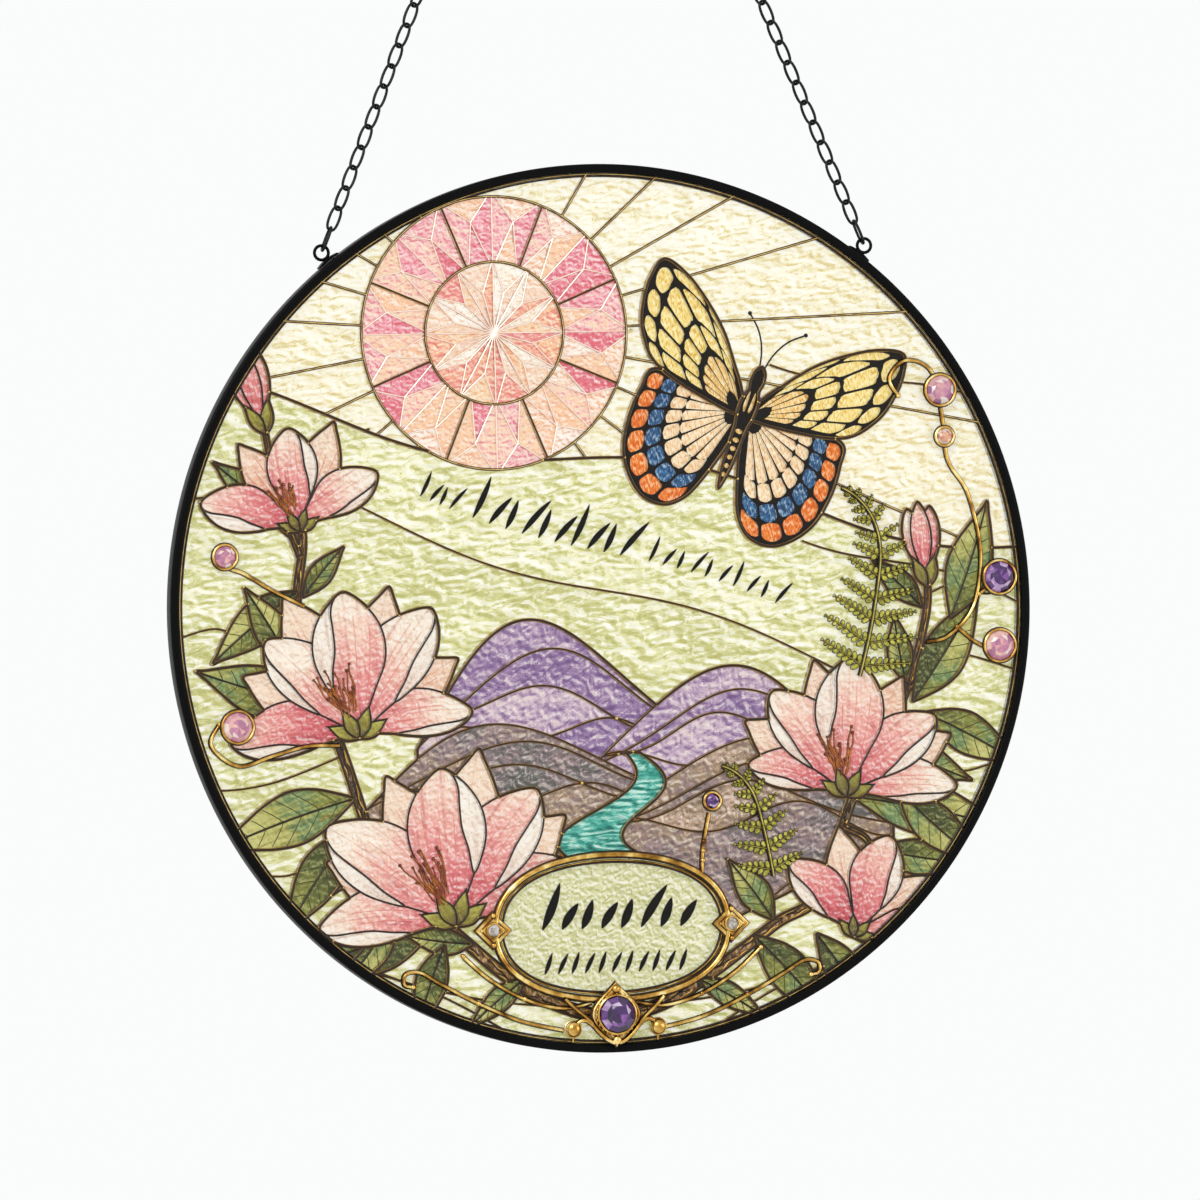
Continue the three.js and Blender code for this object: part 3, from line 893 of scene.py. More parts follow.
def sheet_glass(name, stops, shift, size, stretch, dark, light, gloss, clear=0.72, patchy=0.28):
    """hammered sheet glass in one range of colours, each pane in its own tone, with painted shade in the dark colour on
    the lower side of each dent and a painted highlight of the light strength on its upper side; gloss is where the
    painted highlights begin
    """
    made, nodes, links, shader = material(name, 0.13, transmission=clear)
    shader.inputs["IOR"].default_value = 1.45
    value, edge = flakes(nodes, links, 0.5 * size, stretch)
    cloud = grain(nodes, links, 20, 2)
    light_side, dents = hammered(nodes, links, size, stretch)
    # Painted light: the lightness mixes each flake's own tone with the painted highlight and shade of the dents
    lightness = reckon(nodes, links, "MULTIPLY_ADD", value, 0.16, reckon(nodes, links, "MULTIPLY", light_side, 0.56))
    lightness = reckon(nodes, links, "MULTIPLY_ADD", cloud.outputs["Fac"], patchy, lightness)
    middle = (shift + patchy - 0.28) / 2
    toned = reckon(nodes, links, "MULTIPLY_ADD", pane_tone(nodes), shift, reckon(nodes, links, "SUBTRACT", lightness, middle))
    colours = ramp(nodes, stops)
    links.new(toned, colours.inputs["Fac"])
    # Painted shade on the lower side of each dent, and a painted highlight in warm white on its upper side
    shade = ramp(nodes, [(0.30, dark), (0.34, (1, 1, 1))])
    links.new(light_side, shade.inputs["Fac"])
    glint = ramp(nodes, [(gloss, (0, 0, 0)), (gloss + 0.03, (light, light, light))])
    links.new(light_side, glint.inputs["Fac"])
    lined = blend(nodes, links, 1.0, colours.outputs["Color"], shade.outputs["Color"], "MULTIPLY")
    links.new(blend(nodes, links, glint.outputs["Color"], lined, (0.99, 0.97, 0.88)), shader.inputs["Base Color"])
    bump(nodes, links, reckon(nodes, links, "MULTIPLY_ADD", edge, -0.2, dents), shader, 0.5)
    return made


# Sky glass: warm cream hammered sheet, cut into long rays and let into the rim's channel
sky_glass = sheet_glass("cream_glass", [
    (0.34, tint(238, 226, 184)), (0.44, tint(248, 240, 210)), (0.52, tint(252, 246, 225)), (0.62, tint(254, 252, 240)),
], 0.12, 3.0, (0.42, 1, 1), (0.84, 0.78, 0.56), 1.0, 0.57)
cut_panes("sky_panes", {"sky": sky_glass}, "glass_cream", "sky_glass", "sky_glass_2")

# Field glass: the same sheet in pale yellow green with cream flakes, under the skyline
field_glass = sheet_glass("pale_green_glass", [
    (0.36, tint(200, 198, 134)), (0.43, tint(213, 212, 150)), (0.515, tint(224, 222, 166)), (0.55, tint(246, 243, 208)),
], 0.09, 3.6, (0.42, 1, 1), (0.87, 0.86, 0.70), 1.0, 0.575)
cut_panes("field_panes", {"field": field_glass}, "glass_green", "field_glass", *["field_glass_%d" % k for k in range(2, 6)])

# Sun: pink and peach tiles round a rosette of the same glass
sun_ring_glass = sheet_glass("sun_tile_glass", [
    (0.06, tint(230, 116, 130)), (0.26, tint(241, 158, 174)), (0.42, tint(248, 198, 200)),
    (0.56, tint(251, 222, 180)), (0.72, tint(249, 192, 150)), (0.92, tint(255, 246, 236)),
], 0.9, 2.2, (0.7, 1, 1), (0.84, 0.66, 0.64), 0.6, 0.62)
cut_panes("sun_ring_tiles", {"sun_ring": sun_ring_glass}, "glass_sun_ring", "roundel_ring_glass")
sun_glass = sheet_glass("sun_rosette_glass", [
    (0.06, tint(238, 146, 146)), (0.26, tint(249, 192, 152)), (0.44, tint(252, 224, 176)),
    (0.58, tint(244, 206, 192)), (0.74, tint(253, 238, 212)), (0.92, tint(255, 252, 246)),
], 0.9, 2.2, (0.7, 1, 1), (0.88, 0.72, 0.62), 0.6, 0.62)
cut_panes("sun_rosette", {"sun": sun_glass}, "glass_sun", "roundel_centre_glass")

# Hills and stream: streaky lilac, mauve and brown sheets, and bright teal for the water
far_hill_glass = sheet_glass("lilac_glass", [
    (0.18, tint(124, 94, 146)), (0.36, tint(158, 128, 168)), (0.52, tint(198, 174, 194)), (0.66, tint(222, 202, 206)),
    (0.84, tint(214, 188, 176)),
], 0.42, 2.8, (0.6, 1, 0.8), (0.76, 0.67, 0.74), 0.42, 0.63, patchy=0.7)
cut_panes("far_hill_panes", {"far_hills": far_hill_glass}, "glass_lilac", "hill_far_left", "hill_far_right")
near_hill_glass = sheet_glass("mauve_glass", [
    (0.14, tint(96, 98, 92)), (0.30, tint(130, 116, 118)), (0.44, tint(162, 132, 138)), (0.56, tint(150, 130, 98)),
    (0.70, tint(188, 156, 132)), (0.86, tint(216, 190, 174)),
], 0.46, 2.4, (0.6, 1, 0.8), (0.64, 0.58, 0.54), 0.4, 0.63, patchy=0.9)
cut_panes("near_hill_panes", {"near_hills": near_hill_glass}, "glass_mauve", "hill_near_left", "hill_near_right")
stream_glass = sheet_glass("teal_glass", [
    (0.34, tint(10, 96, 84)), (0.46, tint(34, 142, 126)), (0.57, tint(86, 184, 166)), (0.70, tint(186, 232, 218)),
], 0.1, 3.0, (0.28, 1, 1.2), (0.56, 0.74, 0.70), 0.55, 0.67)
cut_panes("stream_pane", {"stream": stream_glass}, "glass_stream", "stream_glass")


def grown_glass(name, stops, tone_shift, light, painted_glint_colour=(0.97, 0.94, 0.88), clear=0.72):
    """glass whose colour runs along a petal or leaf in fine streaks, from its root to its tip, with painted highlights
    and painted shade on its hammered dents
    """
    made, nodes, links, shader = material(name, 0.13, transmission=clear)
    shader.inputs["IOR"].default_value = 1.45
    where = nodes.new("ShaderNodeUVMap")
    where.uv_map = "grain"
    apart = nodes.new("ShaderNodeSeparateXYZ")
    links.new(where.outputs["UV"], apart.inputs["Vector"])
    comb = nodes.new("ShaderNodeMapping")
    comb.inputs["Scale"].default_value = (15, 1.3, 1)
    links.new(where.outputs["UV"], comb.inputs["Vector"])
    streak = nodes.new("ShaderNodeTexNoise")
    streak.inputs["Scale"].default_value = 1
    streak.inputs["Detail"].default_value = 5
    streak.inputs["Distortion"].default_value = 0.3
    links.new(comb.outputs["Vector"], streak.inputs["Vector"])
    wash = grain(nodes, links, 6, 5, (1, 1, 1), 0.6)
    run = reckon(nodes, links, "MULTIPLY_ADD", streak.outputs["Fac"], 0.8, apart.outputs["Y"])
    run = reckon(nodes, links, "MULTIPLY_ADD", wash.outputs["Fac"], 0.6, run)
    run = reckon(nodes, links, "MULTIPLY_ADD", pane_tone(nodes), tone_shift, run)
    run = reckon(nodes, links, "SUBTRACT", run, 0.7 + tone_shift / 2)
    colours = ramp(nodes, stops)
    links.new(run, colours.inputs["Fac"])
    # Painted light: a painted highlight in a pale colour on the upper side of each dent, and painted shade on the lower
    # side
    light_side, dents = hammered(nodes, links, 2.6, (0.8, 1, 1))
    glint = ramp(nodes, [(0.56, (0, 0, 0)), (0.66, (light, light, light))])
    links.new(light_side, glint.inputs["Fac"])
    shade = ramp(nodes, [(0.30, (0.80, 0.74, 0.70)), (0.40, (1, 1, 1))])
    links.new(light_side, shade.inputs["Fac"])
    lit = blend(nodes, links, glint.outputs["Color"], colours.outputs["Color"], painted_glint_colour)
    lit = blend(nodes, links, 1.0, lit, shade.outputs["Color"], "MULTIPLY")
    line = ramp(nodes, [(0.36, (0.66, 0.50, 0.46)), (0.43, (1, 1, 1))])
    links.new(streak.outputs["Fac"], line.inputs["Fac"])
    links.new(blend(nodes, links, 0.6, lit, line.outputs["Color"], "MULTIPLY"), shader.inputs["Base Color"])
    bump(nodes, links, reckon(nodes, links, "MULTIPLY_ADD", dents, 0.8, streak.outputs["Fac"]), shader, 0.5)
    return made


# Branches, leaves and sepals: brown glass strips, and green glass streaked from root to tip
branch_glass = sheet_glass("brown_glass", [
    (0.25, tint(40, 24, 13)), (0.42, tint(74, 48, 24)), (0.58, tint(122, 84, 42)), (0.72, tint(196, 152, 84)),
], 0.3, 1.6, (1, 1, 0.35), (0.5, 0.42, 0.36), 0.2, 0.66, 0.6)
cut_panes("branch_strips", {"branch": branch_glass}, "lead_line")
# Leaf and sepal glass: the last colour given is that of their painted highlights
leaf_glass = grown_glass("leaf_glass", [
    (0.0, tint(62, 70, 26)), (0.22, tint(98, 106, 42)), (0.45, tint(144, 144, 58)),
    (0.62, tint(96, 134, 92)), (0.80, tint(170, 168, 86)), (1.0, tint(204, 200, 124)),
], 0.8, 0.4, tint(216, 216, 146))
cut_panes("leaf_panes", {"leaf": leaf_glass}, "glass_leaf", *["leaf_%d" % k for k in range(1, 9)])
sepal_glass = grown_glass("sepal_glass", [
    (0.0, tint(104, 84, 28)), (0.4, tint(146, 136, 46)), (0.8, tint(182, 176, 78)), (1.0, tint(206, 198, 108)),
], 0.3, 0.2, tint(230, 222, 140))
cut_panes("sepal_panes", {"sepal": sepal_glass}, "glass_leaf")

# Blossoms: petals that run from deep pink at the root to cream at the tip, with white turned edges
petal_glass = grown_glass("petal_glass", [
    (0.0, tint(202, 78, 92)), (0.24, tint(222, 114, 120)), (0.46, tint(234, 150, 146)),
    (0.68, tint(240, 182, 168)), (0.86, tint(246, 214, 194)), (1.0, tint(250, 236, 218)),
], 0.5, 0.6)
petal_pale_glass = grown_glass("petal_pale_glass", [
    (0.0, tint(224, 130, 116)), (0.3, tint(234, 170, 140)), (0.6, tint(240, 198, 170)), (1.0, tint(246, 222, 198)),
], 0.5, 0.5)
petal_fold_glass = grown_glass("petal_fold_glass", [
    (0.0, tint(236, 192, 180)), (0.4, tint(244, 224, 208)), (0.8, tint(250, 240, 226)), (1.0, tint(253, 249, 240)),
], 0.2, 0.6)
cut_panes("blossom_panes", {"petal": petal_glass, "petal_pale": petal_pale_glass, "petal_fold": petal_fold_glass},
          "glass_blossom", *["blossom_%d" % k for k in range(1, 6)], "bud_1", "bud_2")

# Butterfly: black enamelled glass, with the pale cells of the wings left clear of enamel
wing_black, nodes, links, shader = material("wing_enamel", 0.3)
shader.inputs["Specular IOR Level"].default_value = 0.2
speckle = grain(nodes, links, 0.7, 5)
links.new(speckle.outputs["Fac"], ramp(nodes, [(0.3, tint(7, 6, 5)), (0.75, tint(26, 20, 14))]).inputs["Fac"])
links.new(nodes["Color Ramp"].outputs["Color"], shader.inputs["Base Color"])
bump(nodes, links, speckle.outputs["Fac"], shader, 0.2)
wing_glasses = {"wing_black": wing_black}
for name, low, middle, high in (
    ("wing_cream", (236, 198, 150), (247, 221, 180), (253, 240, 212)),
    ("wing_amber", (226, 172, 88), (242, 202, 124), (251, 228, 172)),
    ("wing_yellow", (232, 196, 96), (245, 220, 134), (252, 240, 182)),
    ("wing_blue", (22, 60, 102), (44, 102, 152), (104, 158, 194)),
    ("wing_orange", (222, 100, 20), (240, 136, 42), (251, 182, 90)),
):
    wing_glasses[name] = sheet_glass(name + "_glass", [(0.3, tint(*low)), (0.48, tint(*middle)), (0.7, tint(*high))], 0.2, 1.3, (1, 1, 0.4), (0.86, 0.78, 0.68), 0.3, 0.64, 0.6)
cut_panes("butterfly_panes", wing_glasses, "glass_wing",
          "wing_lower_left", "wing_lower_right", "wing_upper_left", "wing_upper_right", "butterfly_body")

# Plaque glass: clear pale hammered sheet
plaque_glass = sheet_glass("plaque_glass", [
    (0.34, tint(194, 192, 140)), (0.44, tint(210, 208, 156)), (0.54, tint(219, 218, 169)), (0.66, tint(232, 231, 194)),
], 0.05, 2.3, (0.8, 1, 1), (0.86, 0.86, 0.72), 0.85, 0.60)
cut_panes("plaque_pane", {"plaque": plaque_glass}, "glass_plaque", "plaque_glass")

# Leading: came and copper foil soldered along every line between panes, an H in section with a
# dark patina and a gilt crest; finer came round the tiles, and fine black line round the petals
kin = {"petal": "bloom", "petal_pale": "bloom", "petal_fold": "bloom", "sepal": "bloom", "sun": "sun", "far_hills": "hills", "near_hills": "hills"}


def weight(edge, here, there):
    """how heavy the line along the edge between two faces is"""
    one, other = figures[shows[here]], figures[shows[there]]
    if shows[here] == shows[there]:
        if one["glass"] == "leaf":
            return "fine"
        own = [cuts[number] for kind, number in marks_of[edge] if kind == "cut"]
        return next(line["line"] for line in own if one["name"] in line["owners"] or one["glass"] in line["owners"])
    if kin.get(one["glass"], one["glass"]) == kin.get(other["glass"], other["glass"]):
        return {"bloom": "fine", "sun": "fine", "leaf": "fine", "hills": "tile"}.get(kin.get(one["glass"]), "main")
    return "ray" if {one["glass"], other["glass"]} & {"sun", "sun_ring"} else "main"


seams = {"main": {}, "ray": {}, "tile": {}, "fine": {}, "hair": {}}
meeting = {}
for edge, beside in faces_at.items():
    if len(beside) == 2 and edge in marks_of and parts(edge, *beside):
        links_here = seams[weight(edge, *beside)]
        for a, b in (edge, edge[::-1]):
            links_here.setdefault(a, set()).add(b)
            meeting[a] = meeting.get(a, 0) + 1


def threads(links_here):
    """the lines of one weight, each from one joint to the next"""
    left = {a: set(others) for a, others in links_here.items()}
    found = []
    for ends_only in (True, False):
        for start in sorted(left):
            if ends_only and meeting[start] == 2 and len(links_here[start]) == 2:
                continue
            while left[start]:
                line = [start]
                here = start
                while left[here]:
                    step = min(left[here])
                    left[here].discard(step)
                    left[step].discard(here)
                    line.append(step)
                    here = step
                    if meeting[here] != 2 or len(links_here[here]) != 2 or here == start:
                        break
                found.append(line)
    return found


def bench_curve(name, lines, closed):
    """a curve object through flat lines, each line's points with or without their own height"""
    data = bpy.data.curves.new(name, "CURVE")
    data.dimensions = "3D" if len(lines[0][0]) == 3 else "2D"
    for points, round_about in zip(lines, closed):
        run = data.splines.new("POLY")
        run.points.add(len(points) - 1)
        for spot, point in zip(run.points, points):
            spot.co = (*point, 1) if len(point) == 3 else (*point, 0, 1)
        run.use_cyclic_u = round_about
    piece = bpy.data.objects.new(name, data)
    bpy.context.collection.objects.link(piece)
    return piece


def came(name, lines, half, heart, lip, top):
    """came along the lines: an H of that half width, over both faces of the glass"""
    crown = [(half, lip), (0.92 * half, lip + 0.55 * (top - lip)), (0.5 * half, top - 0.06), (0, top)]
    right = [(heart, -lip), (heart, lip)] + crown
    section = right + [(-x, y) for x, y in right[-2::-1]]
    section = section[1:-1] + [(x, -y) for x, y in section[-2:0:-1]]
    shape = bench_curve(name + "_section", [section], [True])
    paths, closed = [], []
    for line in lines:
        loop = line[0] == line[-1] and len(line) > 3
        paths.append([mesh_points[i] for i in (line[:-1] if loop else line)])
        closed.append(loop)
    piece = bench_curve(name, paths, closed)
    piece.data.bevel_mode = "OBJECT"
    piece.data.bevel_object = shape
    piece.data.use_fill_caps = True
    only(piece)
    bpy.ops.object.convert(target="MESH")
    bpy.data.objects.remove(shape)
    bpy.ops.object.shade_smooth_by_angle(angle=math.radians(50))
    return piece


def gilt_line(name, dark, gilt, least, fringed=False):
    """dark patina with a crest rubbed to bright metal, or fringed, with a dark crest between bright edges"""
    made, nodes, links, shader = material(name, 0.34)
    shader.inputs["Specular IOR Level"].default_value = 0.3
    place = nodes.new("ShaderNodeTexCoord")
    apart = nodes.new("ShaderNodeSeparateXYZ")
    links.new(place.outputs["Normal"], apart.inputs["Vector"])
    facing = reckon(nodes, links, "ABSOLUTE", apart.outputs["Y"], None)
    wear = grain(nodes, links, 3.5, 3)
    facing = reckon(nodes, links, "MULTIPLY_ADD", wear.outputs["Fac"], 0.08, reckon(nodes, links, "SUBTRACT", facing, 0.04))
    ends = ((1, 1, 1), (0, 0, 0)) if fringed else ((0, 0, 0), (1, 1, 1))
    crest_share = ramp(nodes, [(least, ends[0]), (min(least + 0.09, 1), ends[1])])
    links.new(facing, crest_share.inputs["Fac"])
    metal = ramp(nodes, [(0.3, gilt[0]), (0.6, gilt[1])])
    links.new(wear.outputs["Fac"], metal.inputs["Fac"])
    links.new(blend(nodes, links, crest_share.outputs["Color"], dark, metal.outputs["Color"]), shader.inputs["Base Color"])
    links.new(reckon(nodes, links, "MULTIPLY", crest_share.outputs["Color"], 0.85), shader.inputs["Metallic"])
    bump(nodes, links, wear.outputs["Fac"], shader, 0.25)
    return made


gilt = (tint(150, 108, 44), tint(214, 172, 84))
main_line = gilt_line("gilt_edged_lead", tint(34, 21, 9), gilt, 0.60, True)
ray_line = gilt_line("gilt_crested_lead", tint(52, 34, 16), (tint(190, 150, 74), tint(232, 200, 124)), 0.955)
tile_line = gilt_line("gilt_edged_tile_lead", tint(42, 27, 12), gilt, 0.62, True)
fine_line = gilt_line("black_fine_line", tint(18, 11, 8), (tint(58, 36, 22), tint(92, 60, 36)), 0.985)
hair_line = gilt_line("pale_hair_line", tint(206, 150, 132), (tint(244, 216, 196), tint(252, 240, 226)), 0.7)
heart = 0.11
for name, kind, half, lip, top, finish, nodes_here in (
    ("main_leading", "main", 0.60, 1.42, 2.2, main_line, ["leading"]),
    ("ray_leading", "ray", 0.46, 1.42, 2.0, ray_line, []),
    ("tile_leading", "tile", 0.42, 1.42, 2.0, tile_line, []),
    ("petal_leading", "fine", 0.32, 1.42, 1.86, fine_line, []),
    ("sun_hair_leading", "hair", 0.22, 1.42, 1.74, hair_line, []),
):
    piece = came(name, threads(seams[kind]), half, heart, lip, top)
    piece.data.materials.append(finish)
    hang(piece, "lead_line", *nodes_here)

# Solder: a small dome flowed over each joint of the leading, front and back
def copies(part, placings, name):
    """a copy of the part under each placing on the bench, all made one"""
    settle(part)
    made = []
    for placing in placings:
        twin = part.copy()
        twin.data = part.data.copy()
        twin.data.transform(placing)
        bpy.context.collection.objects.link(twin)
        made.append(twin)
    bpy.data.objects.remove(part)
    bpy.ops.object.select_all(action="DESELECT")
    for twin in made:
        twin.select_set(True)
    bpy.context.view_layer.objects.active = made[0]
    bpy.ops.object.join()
    made[0].name = name
    return made[0]


bpy.ops.mesh.primitive_uv_sphere_add(segments=10, ring_count=5, radius=0.95)
dome = bpy.context.object
dome.scale = (1, 1, 0.42)
bpy.ops.object.shade_smooth()
joints = []
soldered = []
for knot, count in sorted(meeting.items()):
    heavy = len(seams["main"].get(knot, ())) + 0.6 * (len(seams["tile"].get(knot, ())) + len(seams["ray"].get(knot, ())))
    point = mesh_points[knot]
    if count > 2 and heavy >= 2 and all((point - other).length > 4.5 for other in soldered):
        soldered.append(point)
        size = 0.85 if heavy >= 3 else 0.7
        joints += [Matrix.Translation((point.x, point.y, side * 1.86)) @ Matrix.Scale(size, 4) for side in (1, -1)]
solder = copies(dome, joints, "solder_joints")
solder_metal = gilt_line("solder_metal", tint(52, 36, 18), (tint(164, 122, 56), tint(216, 178, 96)), 0.78)
solder.data.materials.clear()
solder.data.materials.append(solder_metal)
hang(solder, "lead_line")

# Border: a gilt wire and a black line where the glass goes into the rim, front and back
for name, radius, wire, finish in (("border_gilt_wire", 146.6, 0.36, ray_line), ("border_black_line", 145.9, 0.28, fine_line)):
    bpy.ops.mesh.primitive_torus_add(major_segments=240, minor_segments=8, major_radius=radius, minor_radius=wire)
    bpy.ops.object.shade_smooth()
    border = copies(bpy.context.object, [Matrix.Translation((0, 0, side * 1.7)) for side in (1, -1)], name)
    border.data.materials.clear()
    border.data.materials.append(finish)
    hang(border, "lead_line")

# Painted lines: leaf veins, petal veins, stamens and feelers, fired on the front in thin enamel
def fired_line(points, name=None):
    """the stretches of a line that lie on the named figure, just proud of the glass"""
    runs, run = [], []
    for point in points:
        show = top_figure(point)[0]
        if show is not None and point.length < glass_radius and (name is None or figures[show]["name"] == name):
            run.append((point.x, point.y, glass_half + relief(point) + 0.05))
        else:
            runs.append(run)
            run = []
    return [run for run in runs + [run] if len(run) > 2]


def draw_lines(name, lines, half, finish, slot):
    """round-topped lines of enamel or wire along the given points"""
    piece = bench_curve(name, lines, [False] * len(lines))
    piece.data.bevel_depth = half
    piece.data.bevel_resolution = 1
    piece.data.use_fill_caps = True
    only(piece)
    bpy.ops.object.convert(target="MESH")
    bpy.ops.object.shade_smooth()
    piece.data.materials.clear()
    piece.data.materials.append(finish)
    hang(piece, slot)


def grown(axis, along, across):
    """the point that far along a petal or leaf, and that share of its half width to one side"""
    x, y, direction, length, width, bow = axis
    return Vector((x, y)) + turned((along * length, across * width / 2 + bow * length * along**2), direction)


leaf_veins, petal_veins, stamens, anthers, bark_light, bark_dark = [], [], [], [], [], []
for shape in figures:
    if shape["glass"] == "leaf":
        for k in range(6):
            for hand in (1, -1):
                start = 0.12 + 0.13 * k
                vein = [grown(shape["axis"], start + 0.16 * t / 8, hand * 0.92 * (t / 8) ** 0.9) for t in range(9)]
                leaf_veins += fired_line(vein, shape["name"])
    elif shape["glass"] in ("petal", "petal_pale"):
        for side in (-0.42, -0.14, 0.14, 0.42):
            end = 0.62 + random.uniform(-0.14, 0.16)
            vein = [grown(shape["axis"], 0.08 + end * t / 24, side * (0.35 + 1.1 * math.sin(1.5 * t / 24))) for t in range(25)]
            petal_veins += fired_line(vein, shape["name"])
for name, (points, start, end) in branches.items():
    middle_line = flowing(points, step=0.8)
    for side, found in ((-0.30, bark_light), (0.02, bark_dark), (0.27, bark_dark), (0.36, bark_light)):
        line = []
        for i, point in enumerate(middle_line[:-1]):
            along = (middle_line[i + 1] - point).normalized()
            width = start + (end - start) * i / len(middle_line)
            sway = 0.10 * math.sin(i / 3.1 + 9 * side) + 0.06 * math.sin(i / 1.3)
            line.append(point + Vector((-along.y, along.x)) * width * (side + sway))
        gaps = [run for run in fired_line(line, name)]
        found += [run[k:k + 14] for run in gaps for k in range(0, len(run) - 5, random.choice((15, 17, 19)))]
for x, y, direction, size, count in blossoms[:4]:
    for k in range(24):
        lean = direction + 18 + random.uniform(-19, 19)
        length = size * random.uniform(0.24, 0.5)
        line = [Vector((x, y)) + turned((length * (0.5 + 0.5 * t / 6), 0.5 * math.sin(t + k)), lean) for t in range(7)]
        for run in fired_line(line):
            stamens.append([(px, py, pz + 0.1) for px, py, pz in run])
            anthers.append(Matrix.Translation(stamens[-1][-1]) @ Matrix.Scale(random.uniform(0.8, 1.3), 4))
feelers = [on_wing(flowing([(0.6, 18), (2.2, 25), (5.5, 31), (10.5, 35.5)]), 1)]
feelers.append([*on_wing(flowing([(0.6, 18), (2.2, 25), (5.5, 31), (10.5, 35.5)]), -1)][::-1])
feelers = [[(p.x, p.y, glass_half + relief(p) + 0.1) for p in line] for line in feelers]
vein_enamel = gilt_line("vein_enamel", tint(50, 54, 22), (tint(70, 74, 34), tint(120, 122, 60)), 0.97)
blush_enamel = gilt_line("petal_vein_enamel", tint(196, 104, 96), (tint(206, 120, 108), tint(216, 140, 124)), 0.97)
stamen_enamel = gilt_line("stamen_enamel", tint(84, 34, 12), (tint(140, 66, 22), tint(206, 128, 54)), 0.93)
bark_gilt = gilt_line("bark_gilt", tint(96, 66, 28), (tint(170, 126, 56), tint(228, 190, 108)), 0.6)
draw_lines("leaf_veins", leaf_veins, 0.15, vein_enamel, "lead_line")
draw_lines("petal_veins", petal_veins, 0.09, blush_enamel, "lead_line")
draw_lines("stamens", stamens, 0.3, stamen_enamel, "brass")
draw_lines("bark_highlights", bark_light, 0.2, bark_gilt, "lead_line")
draw_lines("bark_furrows", bark_dark, 0.24, fine_line, "lead_line")
draw_lines("feelers", feelers, 0.3, wing_black, "glass_black")
bpy.ops.mesh.primitive_uv_sphere_add(segments=8, ring_count=5, radius=0.55)
bpy.ops.object.shade_smooth()
anther_dots = copies(bpy.context.object, anthers, "anthers")
anther_dots.data.materials.append(stamen_enamel)
hang(anther_dots, "brass")
bpy.ops.mesh.primitive_uv_sphere_add(segments=10, ring_count=6, radius=0.75)
bpy.ops.object.shade_smooth()
knobs = copies(bpy.context.object, [Matrix.Translation(line[-1]) @ Matrix.Diagonal((1, 1, 0.6, 1)) for line in feelers], "feeler_knobs")
knobs.data.materials.append(wing_black)
hang(knobs, "glass_black")

# Tendrils: brass wire curled over the glass, soldered down, with the set stones for berries
brass_metal, nodes, links, shader = material("polished_brass", 0.22, metallic=1.0)
tarnish = grain(nodes, links, 5, 3)
tone = ramp(nodes, [(0.27, tint(96, 62, 26)), (0.42, tint(168, 124, 56)), (0.56, tint(212, 172, 92)), (0.72, tint(252, 232, 166))])
links.new(tarnish.outputs["Fac"], tone.inputs["Fac"])
# Painted shade: the brass turns brown-black where ambient occlusion finds other surfaces within a millimetre or two, in
# the hollows between wires, glass and stones
hollow = nodes.new("ShaderNodeAmbientOcclusion")
hollow.inputs["Distance"].default_value = 0.0016
painted_hollow_shade = ramp(nodes, [(0.35, (0.16, 0.09, 0.04)), (0.85, (1, 1, 1))])
links.new(hollow.outputs["AO"], painted_hollow_shade.inputs["Fac"])
links.new(blend(nodes, links, 1.0, tone.outputs["Color"], painted_hollow_shade.outputs["Color"], "MULTIPLY"), shader.inputs["Base Color"])
dullness = nodes.new("ShaderNodeMapRange")
dullness.inputs["To Min"].default_value = 0.14
dullness.inputs["To Max"].default_value = 0.36
links.new(tarnish.outputs["Fac"], dullness.inputs["Value"])
links.new(dullness.outputs["Result"], shader.inputs["Roughness"])
bump(nodes, links, tarnish.outputs["Fac"], shader, 0.15)

over_lead = 2.55
curls = [
    [(113, -14), (121, -12), (130, -2), (133, 16), (129, 36), (122, 48), (120.5, 62), (117, 78), (108, 82), (102, 76), (105, 70)],
    [(124, -9), (130, -14), (134, -16)],
    [(132, 2), (135, 4), (137, 6)],
    [(-104, 3), (-114, 8), (-124, 14), (-129, 16)],
    [(-93, -44), (-104, -44), (-116, -47), (-128, -50), (-137, -43), (-134, -36)],
    [(32, -91), (32.5, -82), (35, -70)],
]
for hand in (-1, 1):
    for curl in (
        ((7.6, -133), (18, -134.5), (31, -131), (43, -124), (52, -116)),
        ((17.5, -142), (32, -138.5), (47, -132), (60, -125), (67, -121), (72, -121.5), (72.5, -125), (69.5, -125.8)),
    ):
        curls.append([(hand * x, y) for x, y in curl])
wires = [[(*point, over_lead) for point in flowing(line, step=0.9)] for line in curls]
draw_lines("tendril_wires", wires, 0.58, brass_metal, "brass")
draw_lines("tendril_edges", [[(x, y, over_lead - 0.65) for x, y, _ in line] for line in wires], 0.88, fine_line, "lead_line")
bpy.ops.mesh.primitive_uv_sphere_add(segments=12, ring_count=6, radius=0.95)
bpy.ops.object.shade_smooth()
drops = [(32.4, -86), (32.6, -82.8), (32.9, -79.6), (105, 70), (124, -9), (132, 2), (-134, -36)]
drops += [(hand * x, y) for hand in (-1, 1) for x, y in ((52, -116), (69.5, -125.8), (31, -131), (47, -132))]
wire_beads = copies(bpy.context.object, [Matrix.Translation((*spot, over_lead)) for spot in drops], "tendril_beads")
wire_beads.data.materials.append(brass_metal)
hang(wire_beads, "brass")

